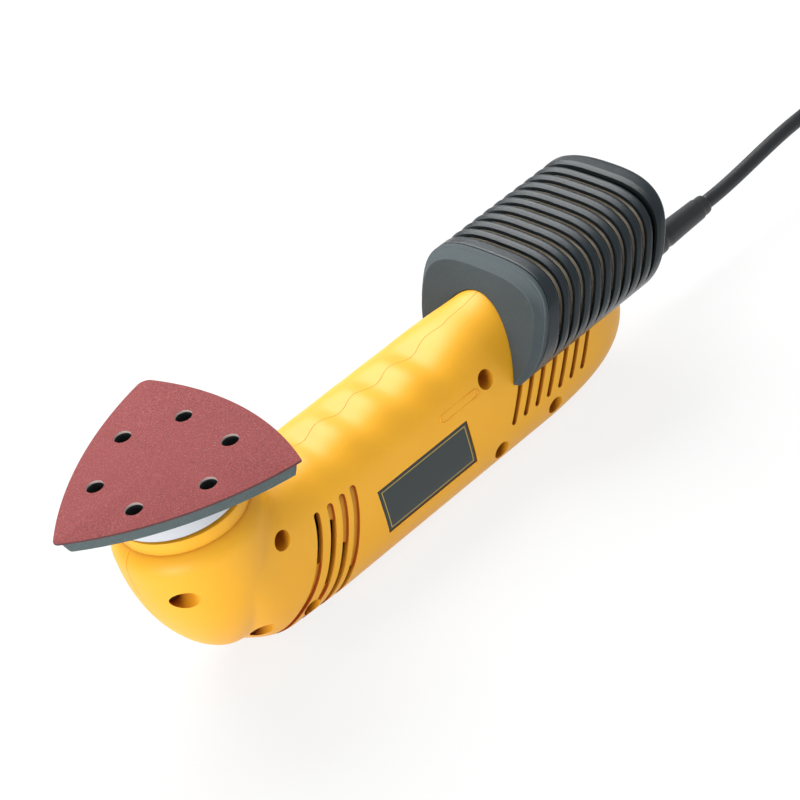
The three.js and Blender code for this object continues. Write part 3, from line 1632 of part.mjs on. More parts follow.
// Strain relief: a flange trapped in the tail, a root collar, and a taper along the cord with a step at
// its end
const reliefEnd = 288;
const reliefRootEnd = 258;
const reliefRootLength = 4;
const reliefRootRadius = 5.5;
const reliefTipRadius = 4.9;
const reliefStepLength = 5;
const reliefTailStation = 197.5;
const relief = turnedLevel([
  [cordRadius + seat, reliefTailStation],
  [reliefRadius, reliefTailStation],
  [reliefRadius, reliefFlangeStation],
  [reliefFlangeRadius, reliefFlangeStation],
  [reliefFlangeRadius, reliefFlangeStation + reliefFlangeThickness],
  [reliefRadius, reliefFlangeStation + reliefFlangeThickness],
  [reliefRadius, reliefRootEnd],
  [reliefRootRadius, reliefRootEnd + reliefRootLength / 2],
  [reliefRootRadius, reliefRootEnd + reliefRootLength],
  [reliefTipRadius, reliefEnd - reliefStepLength],
  [reliefTipRadius - seat, reliefEnd],
  [cordRadius + seat, reliefEnd],
  [cordRadius + seat, reliefTailStation],
], spindleSegments);
const reliefMesh = addPiece('strain_relief', relief, cordRubber);
reliefMesh.position.z = reliefAxis;

// A tube along a list of points; each point is one ring of the tube, square to the way through it
class PointPath extends THREE.Curve {
  constructor(points) {
    super();
    this.points = points;
  }

  getPoint(share, target = new THREE.Vector3()) {
    const place = Math.min(Math.max(share, 0), 1) * (this.points.length - 1);
    const start = Math.min(Math.floor(place), this.points.length - 2);
    return target.lerpVectors(this.points[start], this.points[start + 1], place - start);
  }

  getUtoTmapping(share) {
    return share;
  }
}

function tubeAlong(points, radius, sides) {
  const tubeOutline = circleOutline(0, 0, radius, sides);
  const section = new THREE.Shape(tubeOutline.map(([x, y]) => new THREE.Vector2(x, y)));
  const path = new PointPath(points.map(([x, y, z]) => new THREE.Vector3(x, y, z)));
  return asSolid(new THREE.ExtrudeGeometry(section, {
    steps: points.length - 1,
    bevelEnabled: false,
    extrudePath: path,
  }));
}

// Supply cord: it starts behind the motor, runs level through clamp and relief, then sinks to the coil on
// the floor
const cordInnerEnd = 176;
const coilCentre = [462, -20];
const coilInner = 26.5;
const coilPitch = 7.1;
const coilLayerPitch = 7;
const coilTurns = 6.5;
const coilStepsPerTurn = 24;
const coilSides = 6;
const cordSides = 10;
const tieThickness = 0.8;
const tieWidth = 8;
const tieGap = 0.7;
const cordEndGap = 0.3;
const bottomLayer = tieThickness + seat + cordRadius;
const topLayer = bottomLayer + coilLayerPitch;
const coilOuter = coilInner + (coilPitch * coilTurns) / 2;
const cordRise = 4.2;
const cordRiseFrom = 292;
const cordRiseTo = 352;
const cordFallBefore = 20;
const cordFallTo = coilCentre[0] - cordFallBefore;
const cordStep = 15;
const cordPoints = [];
const cordEnd = coilCentre[0] - cordDiameter - cordEndGap;
const cordSpan = cordEnd - cordInnerEnd;
const cordSteps = Math.ceil(cordSpan / cordStep);
for (let i = 0; i <= cordSteps; i += 1) {
  const x = cordInnerEnd + (cordSpan * i) / cordSteps;
  const rise = cordRise * eased(x, cordRiseFrom, cordRiseTo);
  const fall = (reliefAxis + cordRise - topLayer) * eased(x, cordRiseTo, cordFallTo);
  const sway = (coilCentre[1] + coilOuter) * eased(x, cordRiseTo, cordFallTo);
  cordPoints.push([x, sway, reliefAxis + rise - fall]);
}
addPiece('supply_cord', tubeAlong(cordPoints, cordRadius, cordSides), cordRubber);

// Coil: it winds inward on the top layer, sinks in the half turn where it reverses, and winds outward below
function coilPoint(turns) {
  const fromMiddle = turns - coilTurns / 2;
  const radius = coilInner + coilPitch * Math.abs(fromMiddle);
  const sink = Math.min(Math.max((fromMiddle + 1 / 4) * 2, 0), 1);
  const angle = Math.PI / 2 - 2 * Math.PI * turns;
  return [
    coilCentre[0] + radius * Math.cos(angle),
    coilCentre[1] + radius * Math.sin(angle),
    mix(topLayer, bottomLayer, sink),
  ];
}

const coilSteps = coilTurns * coilStepsPerTurn;
const coilPoints = [[coilCentre[0] - cordDiameter, coilCentre[1] + coilOuter, topLayer]];
for (let i = 0; i <= coilSteps; i += 1) coilPoints.push(coilPoint((coilTurns * i) / coilSteps));
const plugHalfHeight = 7;
const leadLength = 42;
const leadSteps = 4;
for (let i = 1; i <= leadSteps; i += 1) {
  const share = i / leadSteps;
  coilPoints.push([
    coilCentre[0] - leadLength * share,
    coilCentre[1] - coilOuter,
    mix(bottomLayer, plugHalfHeight, eased(share, 1 / leadSteps, 1)),
  ]);
}
const leadEnd = coilCentre[0] - leadLength - cordDiameter;
coilPoints.push([leadEnd, coilCentre[1] - coilOuter, plugHalfHeight]);
addPiece('cord_coil', tubeAlong(coilPoints, cordRadius, coilSides), cordRubber);

// Least gap between turns of the coil, measured between its points and their chords
let leastGap = Infinity;
const coilWay = coilPoints.map(([x, y, z]) => new THREE.Vector3(x, y, z));
for (let i = 0; i < coilWay.length; i += 1) {
  for (let j = i + coilStepsPerTurn / 2; j + 1 < coilWay.length; j += 1) {
    const chord = new THREE.Line3(coilWay[j], coilWay[j + 1]);
    const nearest = chord.closestPointToPoint(coilWay[i], true, new THREE.Vector3());
    leastGap = Math.min(leastGap, nearest.distanceTo(coilWay[i]) - cordDiameter);
  }
}
console.log('least gap of the coil to itself, mm:', leastGap.toFixed(2));

// Tie: a flat strap round the coil's turns on the side towards the tool
const tieNear = coilInner + coilPitch / 2 - cordRadius - tieGap;
const tieFar = coilOuter - (coilPitch * 3) / 4 + cordRadius + tieGap;
const tieTop = topLayer + cordRadius + seat;
const tieBar = cut(
  block(
    -tieFar - tieThickness,
    tieThickness - tieNear,
    -tieWidth / 2,
    tieWidth / 2,
    0,
    tieTop + tieThickness,
  ),
  block(-tieFar, -tieNear, -tieWidth, tieWidth, tieThickness, tieTop),
).translate([coilCentre[0], coilCentre[1], 0]);
addPiece('cord_tie', tieBar, blackPlastic);

// Plug: a flat two-pin body that narrows to the cord
const plugLength = 36;
const plugHalfWidth = 13;
const plugNeckRadius = 5.5;
const plugPower = 3.2;
const plugShares = [[0, 0], [0.3, 0.12], [0.62, 0.6], [0.92, 1], [1, 1]];
const plugRingPoints = 16;
const plugPinRadius = 2;
const plugPinLength = 19;
const plugPinSpread = 9.3;
const plugStart = leadEnd - cordEndGap;
const plugRings = plugShares.map(([along, width]) => {
  const ring = [];
  for (let i = 0; i < plugRingPoints; i += 1) {
    const turn = (2 * Math.PI * i) / plugRingPoints;
    const power = mix(2, plugPower, width);
    const halfHeight = mix(plugNeckRadius, plugHalfHeight, Math.min(3 * width, 1));
    ring.push([
      plugStart - plugLength * along,
      coilCentre[1] - coilOuter
        + mix(plugNeckRadius, plugHalfWidth, width) * signedPower(Math.cos(turn), 2 / power),
      plugHalfHeight + halfHeight * signedPower(Math.sin(turn), 2 / power),
    ]);
  }
  return ring;
});
addPiece('plug_body', loft(plugRings), blackPlastic);
[-plugPinSpread, plugPinSpread].forEach((y, i) => {
  const pin = turnedLevel(rodProfile(plugPinRadius, -plugPinLength, 0), shankSegments);
  const mesh = addPiece(`plug_pin_${i + 1}`, pin, brass);
  mesh.position.set(plugStart - plugLength, coilCentre[1] - coilOuter + y, plugHalfHeight);
});

// The origin is the middle of the base of the tool itself, without its loose cord
const looseNames = ['supply_cord', 'cord_coil', 'cord_tie', 'plug_body', 'plug_pin_1', 'plug_pin_2'];
tool.updateMatrixWorld(true);
const bounds = new THREE.Box3();
tool.traverse((node) => {
  if (node.isMesh && !looseNames.includes(node.name)) bounds.expandByObject(node, true);
});
const middle = bounds.getCenter(new THREE.Vector3());
tool.position.set(-middle.x, -middle.y, -bounds.min.z);

export default tool;
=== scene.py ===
import bpy
import numpy as np
from mathutils import Matrix, Vector


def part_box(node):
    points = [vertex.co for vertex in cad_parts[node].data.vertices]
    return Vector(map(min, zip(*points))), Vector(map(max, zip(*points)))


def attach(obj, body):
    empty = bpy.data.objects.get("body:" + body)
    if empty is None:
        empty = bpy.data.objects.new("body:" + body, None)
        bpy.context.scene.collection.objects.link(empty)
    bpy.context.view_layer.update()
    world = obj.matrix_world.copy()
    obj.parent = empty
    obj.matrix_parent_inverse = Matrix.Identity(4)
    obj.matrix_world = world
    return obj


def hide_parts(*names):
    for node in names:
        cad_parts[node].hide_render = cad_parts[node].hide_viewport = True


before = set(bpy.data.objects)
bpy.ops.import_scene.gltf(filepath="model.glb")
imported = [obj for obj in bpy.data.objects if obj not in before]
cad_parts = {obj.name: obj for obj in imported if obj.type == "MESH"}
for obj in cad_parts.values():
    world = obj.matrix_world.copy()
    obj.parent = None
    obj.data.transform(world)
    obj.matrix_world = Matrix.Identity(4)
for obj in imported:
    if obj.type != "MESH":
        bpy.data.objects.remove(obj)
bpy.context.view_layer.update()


# Camera: a long lens above the near left, rolled so that the tool climbs from lower left to upper right.
# Its place was worked out from the pad's standard outline and holes.
CAMERA_CENTRE = Vector((-0.432156, -0.646678, 0.608505))
CAMERA_RIGHT = Vector((0.70473, -0.66750, -0.24040))
CAMERA_UP = Vector((0.55594, 0.30906, 0.77163))
LENS_MM = 108.0
SENSOR_MM = 36.0

camera_data = bpy.data.cameras.new("camera")
camera_data.lens = LENS_MM
camera_data.sensor_width = SENSOR_MM
camera_data.clip_end = 10.0
camera = bpy.data.objects.new("camera", camera_data)
bpy.context.scene.collection.objects.link(camera)
camera_back = CAMERA_RIGHT.cross(CAMERA_UP)
camera.matrix_world = Matrix((
    (CAMERA_RIGHT.x, CAMERA_UP.x, camera_back.x, CAMERA_CENTRE.x),
    (CAMERA_RIGHT.y, CAMERA_UP.y, camera_back.y, CAMERA_CENTRE.y),
    (CAMERA_RIGHT.z, CAMERA_UP.z, camera_back.z, CAMERA_CENTRE.z),
    (0.0, 0.0, 0.0, 1.0),
))
bpy.context.scene.camera = camera


# Mains cord: two cores in black rubber, 6.5 mm thick. It runs level out of the tail, sinks, and is wound up
# in two layers behind the tool, along the solid's own route with closer points.
MM = 0.001
low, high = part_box("spindle_bearing_lower")
SPINDLE_X = (low[0] + high[0]) / (2 * MM)
CORD_RADIUS, CORD_SIDES = 3.25, 20
CORD_AXIS = 26.5
CORD_INNER_END, CORD_EXIT = 176.0, 286.0
COIL_CENTRE = (462.0, -20.0)
COIL_INNER, COIL_PITCH, COIL_TURNS = 26.5, 7.1, 6.5
COIL_BOTTOM = 1.1 + CORD_RADIUS
COIL_TOP = COIL_BOTTOM + 7.0
COIL_OUTER = COIL_INNER + COIL_PITCH * COIL_TURNS / 2
CORD_RISE, RISE_START, FALL_START, FALL_END = 4.2, 292.0, 352.0, COIL_CENTRE[0] - 20.0
PLUG_AXIS = 7.0
LEAD_LENGTH, LEAD_POINTS = 42.0, 16


def in_place(points):
    """Points in mm from the spindle's axis become points in metres in the row frame."""
    return (np.asarray(points, float) + (SPINDLE_X, 0.0, 0.0)) * MM


def eased(value, start, end):
    """0 before start, 1 after end, and an S-shaped rise between, 3s^2 - 2s^3."""
    share = np.clip((value - start) / (end - start), 0.0, 1.0)
    return share * share * (3.0 - 2.0 * share)


def mixed(a, b, share):
    """A share of the way from a to b."""
    return a + (b - a) * share


def mesh_object(name, points, quads, triangles=None):
    """A mesh from arrays of points and corners. It is turned inside out if its signed volume is negative."""
    triangles = np.zeros((0, 3), int) if triangles is None else triangles
    fans = np.concatenate([quads[:, [0, 1, 2]], quads[:, [0, 2, 3]], triangles])
    a, b, c = points[fans[:, 0]], points[fans[:, 1]], points[fans[:, 2]]
    if np.einsum("ij,ij->i", a, np.cross(b, c)).sum() < 0:
        quads, triangles = quads[:, ::-1], triangles[:, ::-1]
    corners = np.concatenate([quads.ravel(), triangles.ravel()]).astype(np.int32)
    sizes = np.concatenate([np.full(len(quads), 4), np.full(len(triangles), 3)])
    starts = np.concatenate([[0], np.cumsum(sizes)[:-1]]).astype(np.int32)
    mesh = bpy.data.meshes.new(name)
    mesh.vertices.add(len(points))
    mesh.vertices.foreach_set("co", points.astype(np.float32).ravel())
    mesh.loops.add(len(corners))
    mesh.loops.foreach_set("vertex_index", corners)
    mesh.polygons.add(len(sizes))
    mesh.polygons.foreach_set("loop_start", starts)
    mesh.polygons.foreach_set("use_smooth", np.ones(len(sizes), bool))
    mesh.update(calc_edges=True)
    mesh.validate()
    piece = bpy.data.objects.new(name, mesh)
    bpy.context.scene.collection.objects.link(piece)
    return piece


def skin(name, grid, ring=False):
    """A closed surface through a grid of points: rows follow one another along the piece, and each row goes
    round it. The first and last rows are closed by fans to their middles, or meet if it is a ring."""
    rows, columns = grid.shape[:2]
    i = np.arange(rows if ring else rows - 1)[:, None]
    j = np.arange(columns)[None, :]
    after_i, after_j = (i + 1) % rows, (j + 1) % columns
    quads = np.stack([
        i * columns + j, i * columns + after_j, after_i * columns + after_j, after_i * columns + j,
    ], -1).reshape(-1, 4)
    points = grid.reshape(-1, 3)
    if ring:
        return mesh_object(name, points, quads)
    j, after_j = j[0], after_j[0]
    first, last = len(points), len(points) + 1
    end = (rows - 1) * columns
    fans = np.concatenate([
        np.stack([np.full(columns, first), after_j, j], -1),
        np.stack([np.full(columns, last), end + j, end + after_j], -1),
    ])
    points = np.concatenate([points, grid[[0, -1]].mean(1)])
    return mesh_object(name, points, quads, fans)


def circle(count):
    """Cosines and sines of evenly spaced turns."""
    turn = np.linspace(0.0, 2.0 * np.pi, count, endpoint=False)
    return np.cos(turn), np.sin(turn)


def tube(name, path, radius, sides):
    """A round tube along a path that never stands upright: each ring is square to the way through its point,
    with one axis level."""
    way = np.gradient(path, axis=0)
    way /= np.linalg.norm(way, axis=1, keepdims=True)
    level = np.cross(way, (0.0, 0.0, 1.0))
    level /= np.linalg.norm(level, axis=1, keepdims=True)
    upper = np.cross(level, way)
    c, s = circle(sides)
    grid = path[:, None] + radius * (c[None, :, None] * level[:, None] + s[None, :, None] * upper[:, None])
    return skin(name, in_place(grid))


def cord_run(stations):
    """Middle of the cord from the clamp to the coil: level, then a slight rise, then a long fall."""
    rise = CORD_RISE * eased(stations, RISE_START, FALL_START)
    fall = (CORD_AXIS + CORD_RISE - COIL_TOP) * eased(stations, FALL_START, FALL_END)
    sway = (COIL_CENTRE[1] + COIL_OUTER) * eased(stations, FALL_START, FALL_END)
    return np.stack([stations, sway, CORD_AXIS + rise - fall], -1)


def coil_run(turns):
    """Middle of the cord in the coil: a spiral r = inner + pitch * turns from its middle, inward on the upper
    layer, down in a half turn, and outward on the lower."""
    past_middle = turns - COIL_TURNS / 2
    radius = COIL_INNER + COIL_PITCH * np.abs(past_middle)
    sink = np.clip((past_middle + 0.25) * 2.0, 0.0, 1.0)
    angle = np.pi / 2 - 2.0 * np.pi * turns
    return np.stack([
        COIL_CENTRE[0] + radius * np.cos(angle),
        COIL_CENTRE[1] + radius * np.sin(angle),
        mixed(COIL_TOP, COIL_BOTTOM, sink),
    ], -1)


lead_share = np.linspace(0.0, 1.0, LEAD_POINTS + 1)[1:]
cord_lead = np.stack([
    COIL_CENTRE[0] - (LEAD_LENGTH + 2 * CORD_RADIUS) * lead_share,
    np.full(LEAD_POINTS, COIL_CENTRE[1] - COIL_OUTER),
    mixed(COIL_BOTTOM, PLUG_AXIS, eased(lead_share, 0.25, 1.0)),
], -1)
cord_path = np.concatenate([
    cord_run(np.linspace(CORD_EXIT, COIL_CENTRE[0] - 2 * CORD_RADIUS, 44)),
    coil_run(np.linspace(0.0, COIL_TURNS, 270)),
    cord_lead,
])
mains_cord = tube("mains_cord", cord_path, CORD_RADIUS, CORD_SIDES)
inner_path = cord_run(np.linspace(CORD_INNER_END, CORD_EXIT - 0.5, 12))
inner_cord = tube("inner_cord", inner_path, CORD_RADIUS - 0.05, CORD_SIDES)


def linear(red, green, blue):
    """A display colour, 0 to 255, as the linear colour that a shader takes."""
    share = np.array((red, green, blue)) / 255.0
    value = np.where(share <= 0.04045, share / 12.92, ((share + 0.055) / 1.055) ** 2.4)
    return (*value.tolist(), 1.0)


def feed(tree, socket, value):
    """An input takes what comes from another socket, or else a plain value."""
    if isinstance(value, bpy.types.NodeSocket):
        tree.links.new(value, socket)
    else:
        socket.default_value = value


def node(tree, kind, inputs=None, **settings):
    """One shader node with its settings. Each of its inputs, by name or place, gets a value or a socket."""
    made = tree.nodes.new("ShaderNode" + kind)
    for key, value in settings.items():
        setattr(made, key, value)
    for key, value in (inputs or {}).items():
        feed(tree, made.inputs[key], value)
    return made


def reckon(tree, operation, *terms):
    """The result of a sum on numbers and sockets."""
    return node(tree, "Math", dict(enumerate(terms)), operation=operation).outputs[0]


def between(tree, value, start, end):
    """How far a value is from start to end, from 0 to 1. The ends may be numbers or sockets."""
    return node(tree, "MapRange", {"Value": value, "From Min": start, "From Max": end}).outputs["Result"]


def noise(tree, place, scale, detail, roughness=0.5):
    """A value from 0 to 1 that wanders over the surface."""
    return node(tree, "TexNoise", {
        "Vector": place, "Scale": scale, "Detail": detail, "Roughness": roughness}).outputs["Fac"]


def colour_mix(tree, share, a, b):
    """A mix of two colours, each plain or from a socket, by a share that comes from a socket."""
    return node(tree, "Mix", {"Factor": share, 6: a, 7: b}, data_type="RGBA").outputs[2]


def effect_group(name, inputs, outputs):
    """An empty shader node group, with its given sockets and its output node. An input with no value of its
    own is a vector."""
    group = bpy.data.node_groups.new(name, "ShaderNodeTree")
    for label, value in inputs.items():
        kind = "NodeSocketVector" if value is None else "NodeSocketFloat"
        socket = group.interface.new_socket(label, in_out="INPUT", socket_type=kind)
        if value is not None:
            socket.default_value = value
    for label in outputs:
        group.interface.new_socket(label, in_out="OUTPUT", socket_type="NodeSocketFloat")
    return group, group.nodes.new("NodeGroupInput").outputs, group.nodes.new("NodeGroupOutput").inputs


# Surface effect of moulded and rubbery pieces: a fine grain from the mould, and slow shifts of tone and gloss
grain_group, given, result = effect_group("moulded_grain", {
    "Vector": None, "Grain Scale": 2500.0, "Tone Scale": 30.0, "Low Gloss": 0.4, "High Gloss": 0.5,
}, ("Height", "Roughness", "Tone"))
grain = noise(grain_group, given["Vector"], given["Grain Scale"], 2.0, 0.6)
tone = noise(grain_group, given["Vector"], given["Tone Scale"], 3.0, 0.55)
both = reckon(grain_group, "MULTIPLY_ADD", grain, 0.5, reckon(grain_group, "MULTIPLY", tone, 0.5))
gloss_span = reckon(grain_group, "SUBTRACT", given["High Gloss"], given["Low Gloss"])
feed(grain_group, result["Height"], grain)
feed(grain_group, result["Roughness"], reckon(
    grain_group, "MULTIPLY_ADD", both, gloss_span, given["Low Gloss"]))
feed(grain_group, result["Tone"], tone)

# Worn edges: convex edges of dark plastic and metal are rubbed paler
edge_group, given, result = effect_group(
    "rubbed_edges", {"Vector": None, "Start": 0.52, "End": 0.62}, ("Mask",))
pointed = between(
    edge_group, node(edge_group, "NewGeometry").outputs["Pointiness"], given["Start"], given["End"])
feed(edge_group, result["Mask"], reckon(
    edge_group, "MULTIPLY", pointed, noise(edge_group, given["Vector"], 180.0, 3.0)))


def new_material(name):
    """A material with only its shader and output, and an object coordinate."""
    material = bpy.data.materials.new(name)
    material.use_nodes = True
    tree = material.node_tree
    return material, tree, node(tree, "TexCoord").outputs["Object"]


def shader_of(material):
    """The inputs of a material's Principled shader."""
    return material.node_tree.nodes["Principled BSDF"].inputs


def surfaced(material, colour, roughness, height, depth, strength=1.0):
    """The material with its colour, its roughness, and its bump from a height."""
    tree, shader = material.node_tree, shader_of(material)
    bump = node(tree, "Bump", {"Strength": strength, "Distance": depth, "Height": height})
    feed(tree, shader["Base Color"], colour)
    feed(tree, shader["Roughness"], roughness)
    feed(tree, shader["Normal"], bump.outputs["Normal"])
    return material


def moulded(name, dark, light, gloss, grain_scale, grain_depth, tone_scale=30.0, edge=None, stretch=None):
    """Moulded plastic or rubber: tone wanders between two close colours, grain feeds gloss and bump, and
    convex edges may be rubbed towards a third colour. The grain may be drawn out along an axis."""
    material, tree, place = new_material(name)
    drawn = node(tree, "Mapping", {"Vector": place, "Scale": stretch}).outputs["Vector"] if stretch else place
    surface = node(tree, "Group", {
        "Vector": drawn, "Grain Scale": grain_scale, "Tone Scale": tone_scale,
        "Low Gloss": gloss[0], "High Gloss": gloss[1],
    }, node_tree=grain_group).outputs
    colour = colour_mix(tree, surface["Tone"], dark, light)
    if edge:
        rubbed = node(tree, "Group", {"Vector": place}, node_tree=edge_group)
        colour = colour_mix(tree, rubbed.outputs["Mask"], colour, edge)
    return surfaced(material, colour, surface["Roughness"], surface["Height"], grain_depth)


def give(piece, material):
    """One material for a whole piece or CAD node."""
    piece.data.materials.clear()
    piece.data.materials.append(material)


cord_rubber = moulded(
    "cord_rubber", linear(20, 23, 27), linear(32, 36, 41), (0.38, 0.5), 1800.0, 0.00008, 60.0)
for piece in (mains_cord, inner_cord):
    give(piece, cord_rubber)
    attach(piece, "housing")
    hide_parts("supply_cord")
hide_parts("cord_coil")


# Strain relief: a soft rubber sleeve, moulded with a collar at its root and a small step at its thin end.
# Its flange sits in the tail.
RELIEF_PROFILE = [
    (3.6, 197.6), (5.8, 197.6), (6.0, 197.9), (6.0, 200.1), (8.3, 200.1), (8.5, 200.4), (8.5, 202.6),
    (8.3, 202.9), (6.0, 202.9), (6.0, 256.5), (5.9, 257.5), (5.5, 258.2), (5.3, 259.2), (5.3, 260.4),
    (5.5, 261.4), (5.5, 262.0), (5.3, 268.0), (5.1, 275.0), (4.95, 282.0), (4.9, 283.0), (4.55, 283.6),
    (4.5, 284.5), (4.5, 286.6), (4.3, 287.5), (3.9, 287.9), (3.6, 287.9),
]


def turned(name, profile, centre, axis, sides=64, closed=True):
    """A turned form: [radius, station] points carried round an axis through a centre, as a closed band."""
    profile = np.asarray(profile, float)
    c, s = circle(sides)
    radius, along = profile[:, :1], np.repeat(profile[:, 1:], sides, 1)
    if axis == "x":
        grid = np.stack([along, radius * c, radius * s], -1)
    else:
        grid = np.stack([radius * c, radius * s, along], -1)
    return skin(name, in_place(grid + np.asarray(centre, float)), ring=closed)

def creased(piece, degrees):
    """Smooth faces, but for a sharp edge where two faces meet at more than an angle."""
    piece.data.polygons.foreach_set("use_smooth", np.ones(len(piece.data.polygons), bool))
    piece.data.set_sharp_from_angle(angle=np.radians(degrees))


relief = turned("relief_sleeve", RELIEF_PROFILE, (0.0, 0.0, CORD_AXIS), "x", 48)
creased(relief, 40)
give(relief, moulded(
    "relief_rubber", linear(22, 26, 29), linear(34, 39, 43), (0.34, 0.46), 1500.0, 0.0001, 40.0))
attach(relief, "housing")
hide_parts("strain_relief")


# Plug: a flat body of black plastic, moulded on the end of the cord with finger ribs, narrows to the cord.
# Two brass pins with domed ends are set into it.
PLUG_START = COIL_CENTRE[0] - LEAD_LENGTH - 2 * CORD_RADIUS - 0.3
PLUG_LENGTH = 36.0
PLUG_Y = COIL_CENTRE[1] - COIL_OUTER
PLUG_STATION_SHARES = (0.0, 0.3, 0.62, 0.92, 1.0)
PLUG_WIDTH_SHARES = (0.0, 0.12, 0.6, 1.0, 1.0)
FINGER_RIBS, FINGER_DEPTH = 11, 0.035
PIN_PROFILE = [(2.0, 0.0), (2.0, -17.5), (1.9, -18.3), (1.5, -18.8), (0.8, -19.0)]
PIN_SPREAD = 9.3


def signed_power(value, power):
    """A power that keeps the sign of its base."""
    return np.sign(value) * np.abs(value) ** power


share = np.linspace(0.0, 1.0, 73)[:, None]
turn = np.linspace(0.0, 2.0 * np.pi, 64, endpoint=False)[None, :]
width = np.interp(share, PLUG_STATION_SHARES, PLUG_WIDTH_SHARES)
width = width * width * (3 - 2 * width) * 0.5 + width * 0.5
ends = 1.0 - 0.1 * eased(share, 0.97, 1.0) - 0.14 * eased(share, 0.03, 0.0)
ribbed = FINGER_DEPTH * eased(share, 0.1, 0.16) * eased(share, 0.66, 0.6)
size = ends * (1.0 - ribbed * np.maximum(np.sin(share * 2 * np.pi * FINGER_RIBS), 0.0) ** 2)
power = mixed(2.0, 3.2, width)
plug = skin("plug_grip", in_place(np.stack([
    PLUG_START - PLUG_LENGTH * share + 0.0 * turn,
    PLUG_Y + mixed(5.5, 13.0, width) * size * signed_power(np.cos(turn), 2 / power),
    PLUG_AXIS + mixed(5.5, 7.0, np.minimum(3 * width, 1)) * size * signed_power(np.sin(turn), 2 / power),
], -1)))
creased(plug, 50)
black_plastic = moulded(
    "black_plastic", linear(26, 28, 30), linear(38, 41, 44), (0.4, 0.52), 2200.0, 0.00006, 50.0,
    linear(90, 94, 98))
give(plug, black_plastic)
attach(plug, "housing")
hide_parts("plug_body")
pins = []
for number, side in ((1, -PIN_SPREAD), (2, PIN_SPREAD)):
    root = (PLUG_START - PLUG_LENGTH, PLUG_Y + side, PLUG_AXIS)
    pin = turned(f"round_pin_{number}", PIN_PROFILE, root, "x", 32, False)
    creased(pin, 60)
    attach(pin, "housing")
    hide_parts(f"plug_pin_{number}")
    pins.append(pin)
give(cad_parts["cord_tie"], black_plastic)


# Housing: two glass-filled nylon halves, split down the middle, 2.5 mm thick. The grip's section is a
# squarish oval with shallow waves on its crown; the head is turned, and the tail is rounded. Wells, grooves
# and slots are cut through after the outer form is drawn as one smooth skin.
AXIS = 31.0
LEAN = 0.47
GRIP_HALF_WIDTH, GRIP_HALF_HEIGHT = 25.5, 31.0
GRIP_POWER, CROWN_POWER, TAIL_POWER = 3.0, 1.9, 2.85
HEAD_RADIUS, BOWL_TOP, BOWL_BOTTOM = 30.54, 63.2, 4.0
BOWL_POWER_OUT, BOWL_POWER_DOWN = 1.49, 2.25
SHOULDER = np.array([(30.3, 65.0), (29.6, 66.8), (28.5, 68.4), (27.2, 69.7), (26.0, 70.6)])
HEAD_BLEND, BOWL_BLEND = 46.0, 18.0
COLLAR_RADIUS, COLLAR_FOOT, COLLAR_TOP = 26.3, 71.0, 76.5
NECK_START, NECK_FOOT = 118.0, 162.0 - LEAN * (76.5 - AXIS)
NECK_RISE, TAIL_RISE, BELLY = 4.2, 3.2, 0.5
TAIL_START, TAIL_END = 163.0, 221.0
WALL, SEAM = 2.5, 0.12
WAVE_HEIGHT, WAVE_PITCH, WAVE_FIRST = 0.8, 19.8, 67.0


def wave(x):
    """Height of the finger waves: a cosine of the waves' pitch that fades at both ends."""
    fade = eased(x, 44.0, 52.0) * (1.0 - eased(x, 134.0, 142.0))
    return WAVE_HEIGHT * fade * np.cos(2 * np.pi * (x - WAVE_FIRST) / WAVE_PITCH)


def grip_rings(stations, sides, inset):
    """Sections of the grip, one row each: a superellipse |y/a|^p + |z/b|^p = 1 whose size and power change
    along the tool. Towards the head it turns into the bowl's side view."""
    x = np.asarray(stations, float)[:, None]
    turn = np.linspace(0.0, 2.0 * np.pi, sides, endpoint=False)[None, :]
    across, up = np.cos(turn), np.sin(turn)
    upper = up >= 0
    neck = eased(x, NECK_START, NECK_FOOT)
    reach = np.clip((x - TAIL_START) / (TAIL_END - TAIL_START), 0.0, 1.0)
    tail = (1.0 - reach ** TAIL_POWER) ** (1 / TAIL_POWER)
    exponent = 2.0 / np.where(upper, mixed(GRIP_POWER, CROWN_POWER, neck), GRIP_POWER)
    crown = up ** 2 * (1.0 - 0.85 * eased(across, -0.1, 0.6))
    rise = np.where(upper, NECK_RISE * neck + wave(x) * crown, BELLY)
    grip_y = (GRIP_HALF_WIDTH * tail - inset) * signed_power(across, exponent)
    grip_z = ((GRIP_HALF_HEIGHT + rise) * tail - inset) * signed_power(up, exponent)
    grip_z = AXIS + TAIL_RISE * reach + grip_z
    head_y = (HEAD_RADIUS - inset - 0.1) * signed_power(across, np.where(upper, exponent, 2 / BOWL_POWER_OUT))
    head_z = BOWL_TOP + np.where(
        upper,
        (4.0 - inset) * signed_power(up, exponent),
        (BOWL_TOP - BOWL_BOTTOM - inset * 1.5) * signed_power(up, 2 / BOWL_POWER_DOWN),
    )
    above, below = 1.0 - eased(x, 0.0, HEAD_BLEND), np.clip(1.0 - x / BOWL_BLEND, 0.0, 1.0) ** 2
    head = mixed(below, above, (1.0 + np.sign(up) * up ** 2) / 2)
    y, z = mixed(grip_y, head_y, head), mixed(grip_z, head_z, head)
    return np.stack([x + LEAN * neck * np.maximum(z - AXIS, 0.0), y, z], -1)


def grip_form(stations, sides, inset):
    """The grip with its neck and tail as a closed form, drawn in by an inset."""
    return skin("grip_form", in_place(grip_rings(stations, sides, inset)))


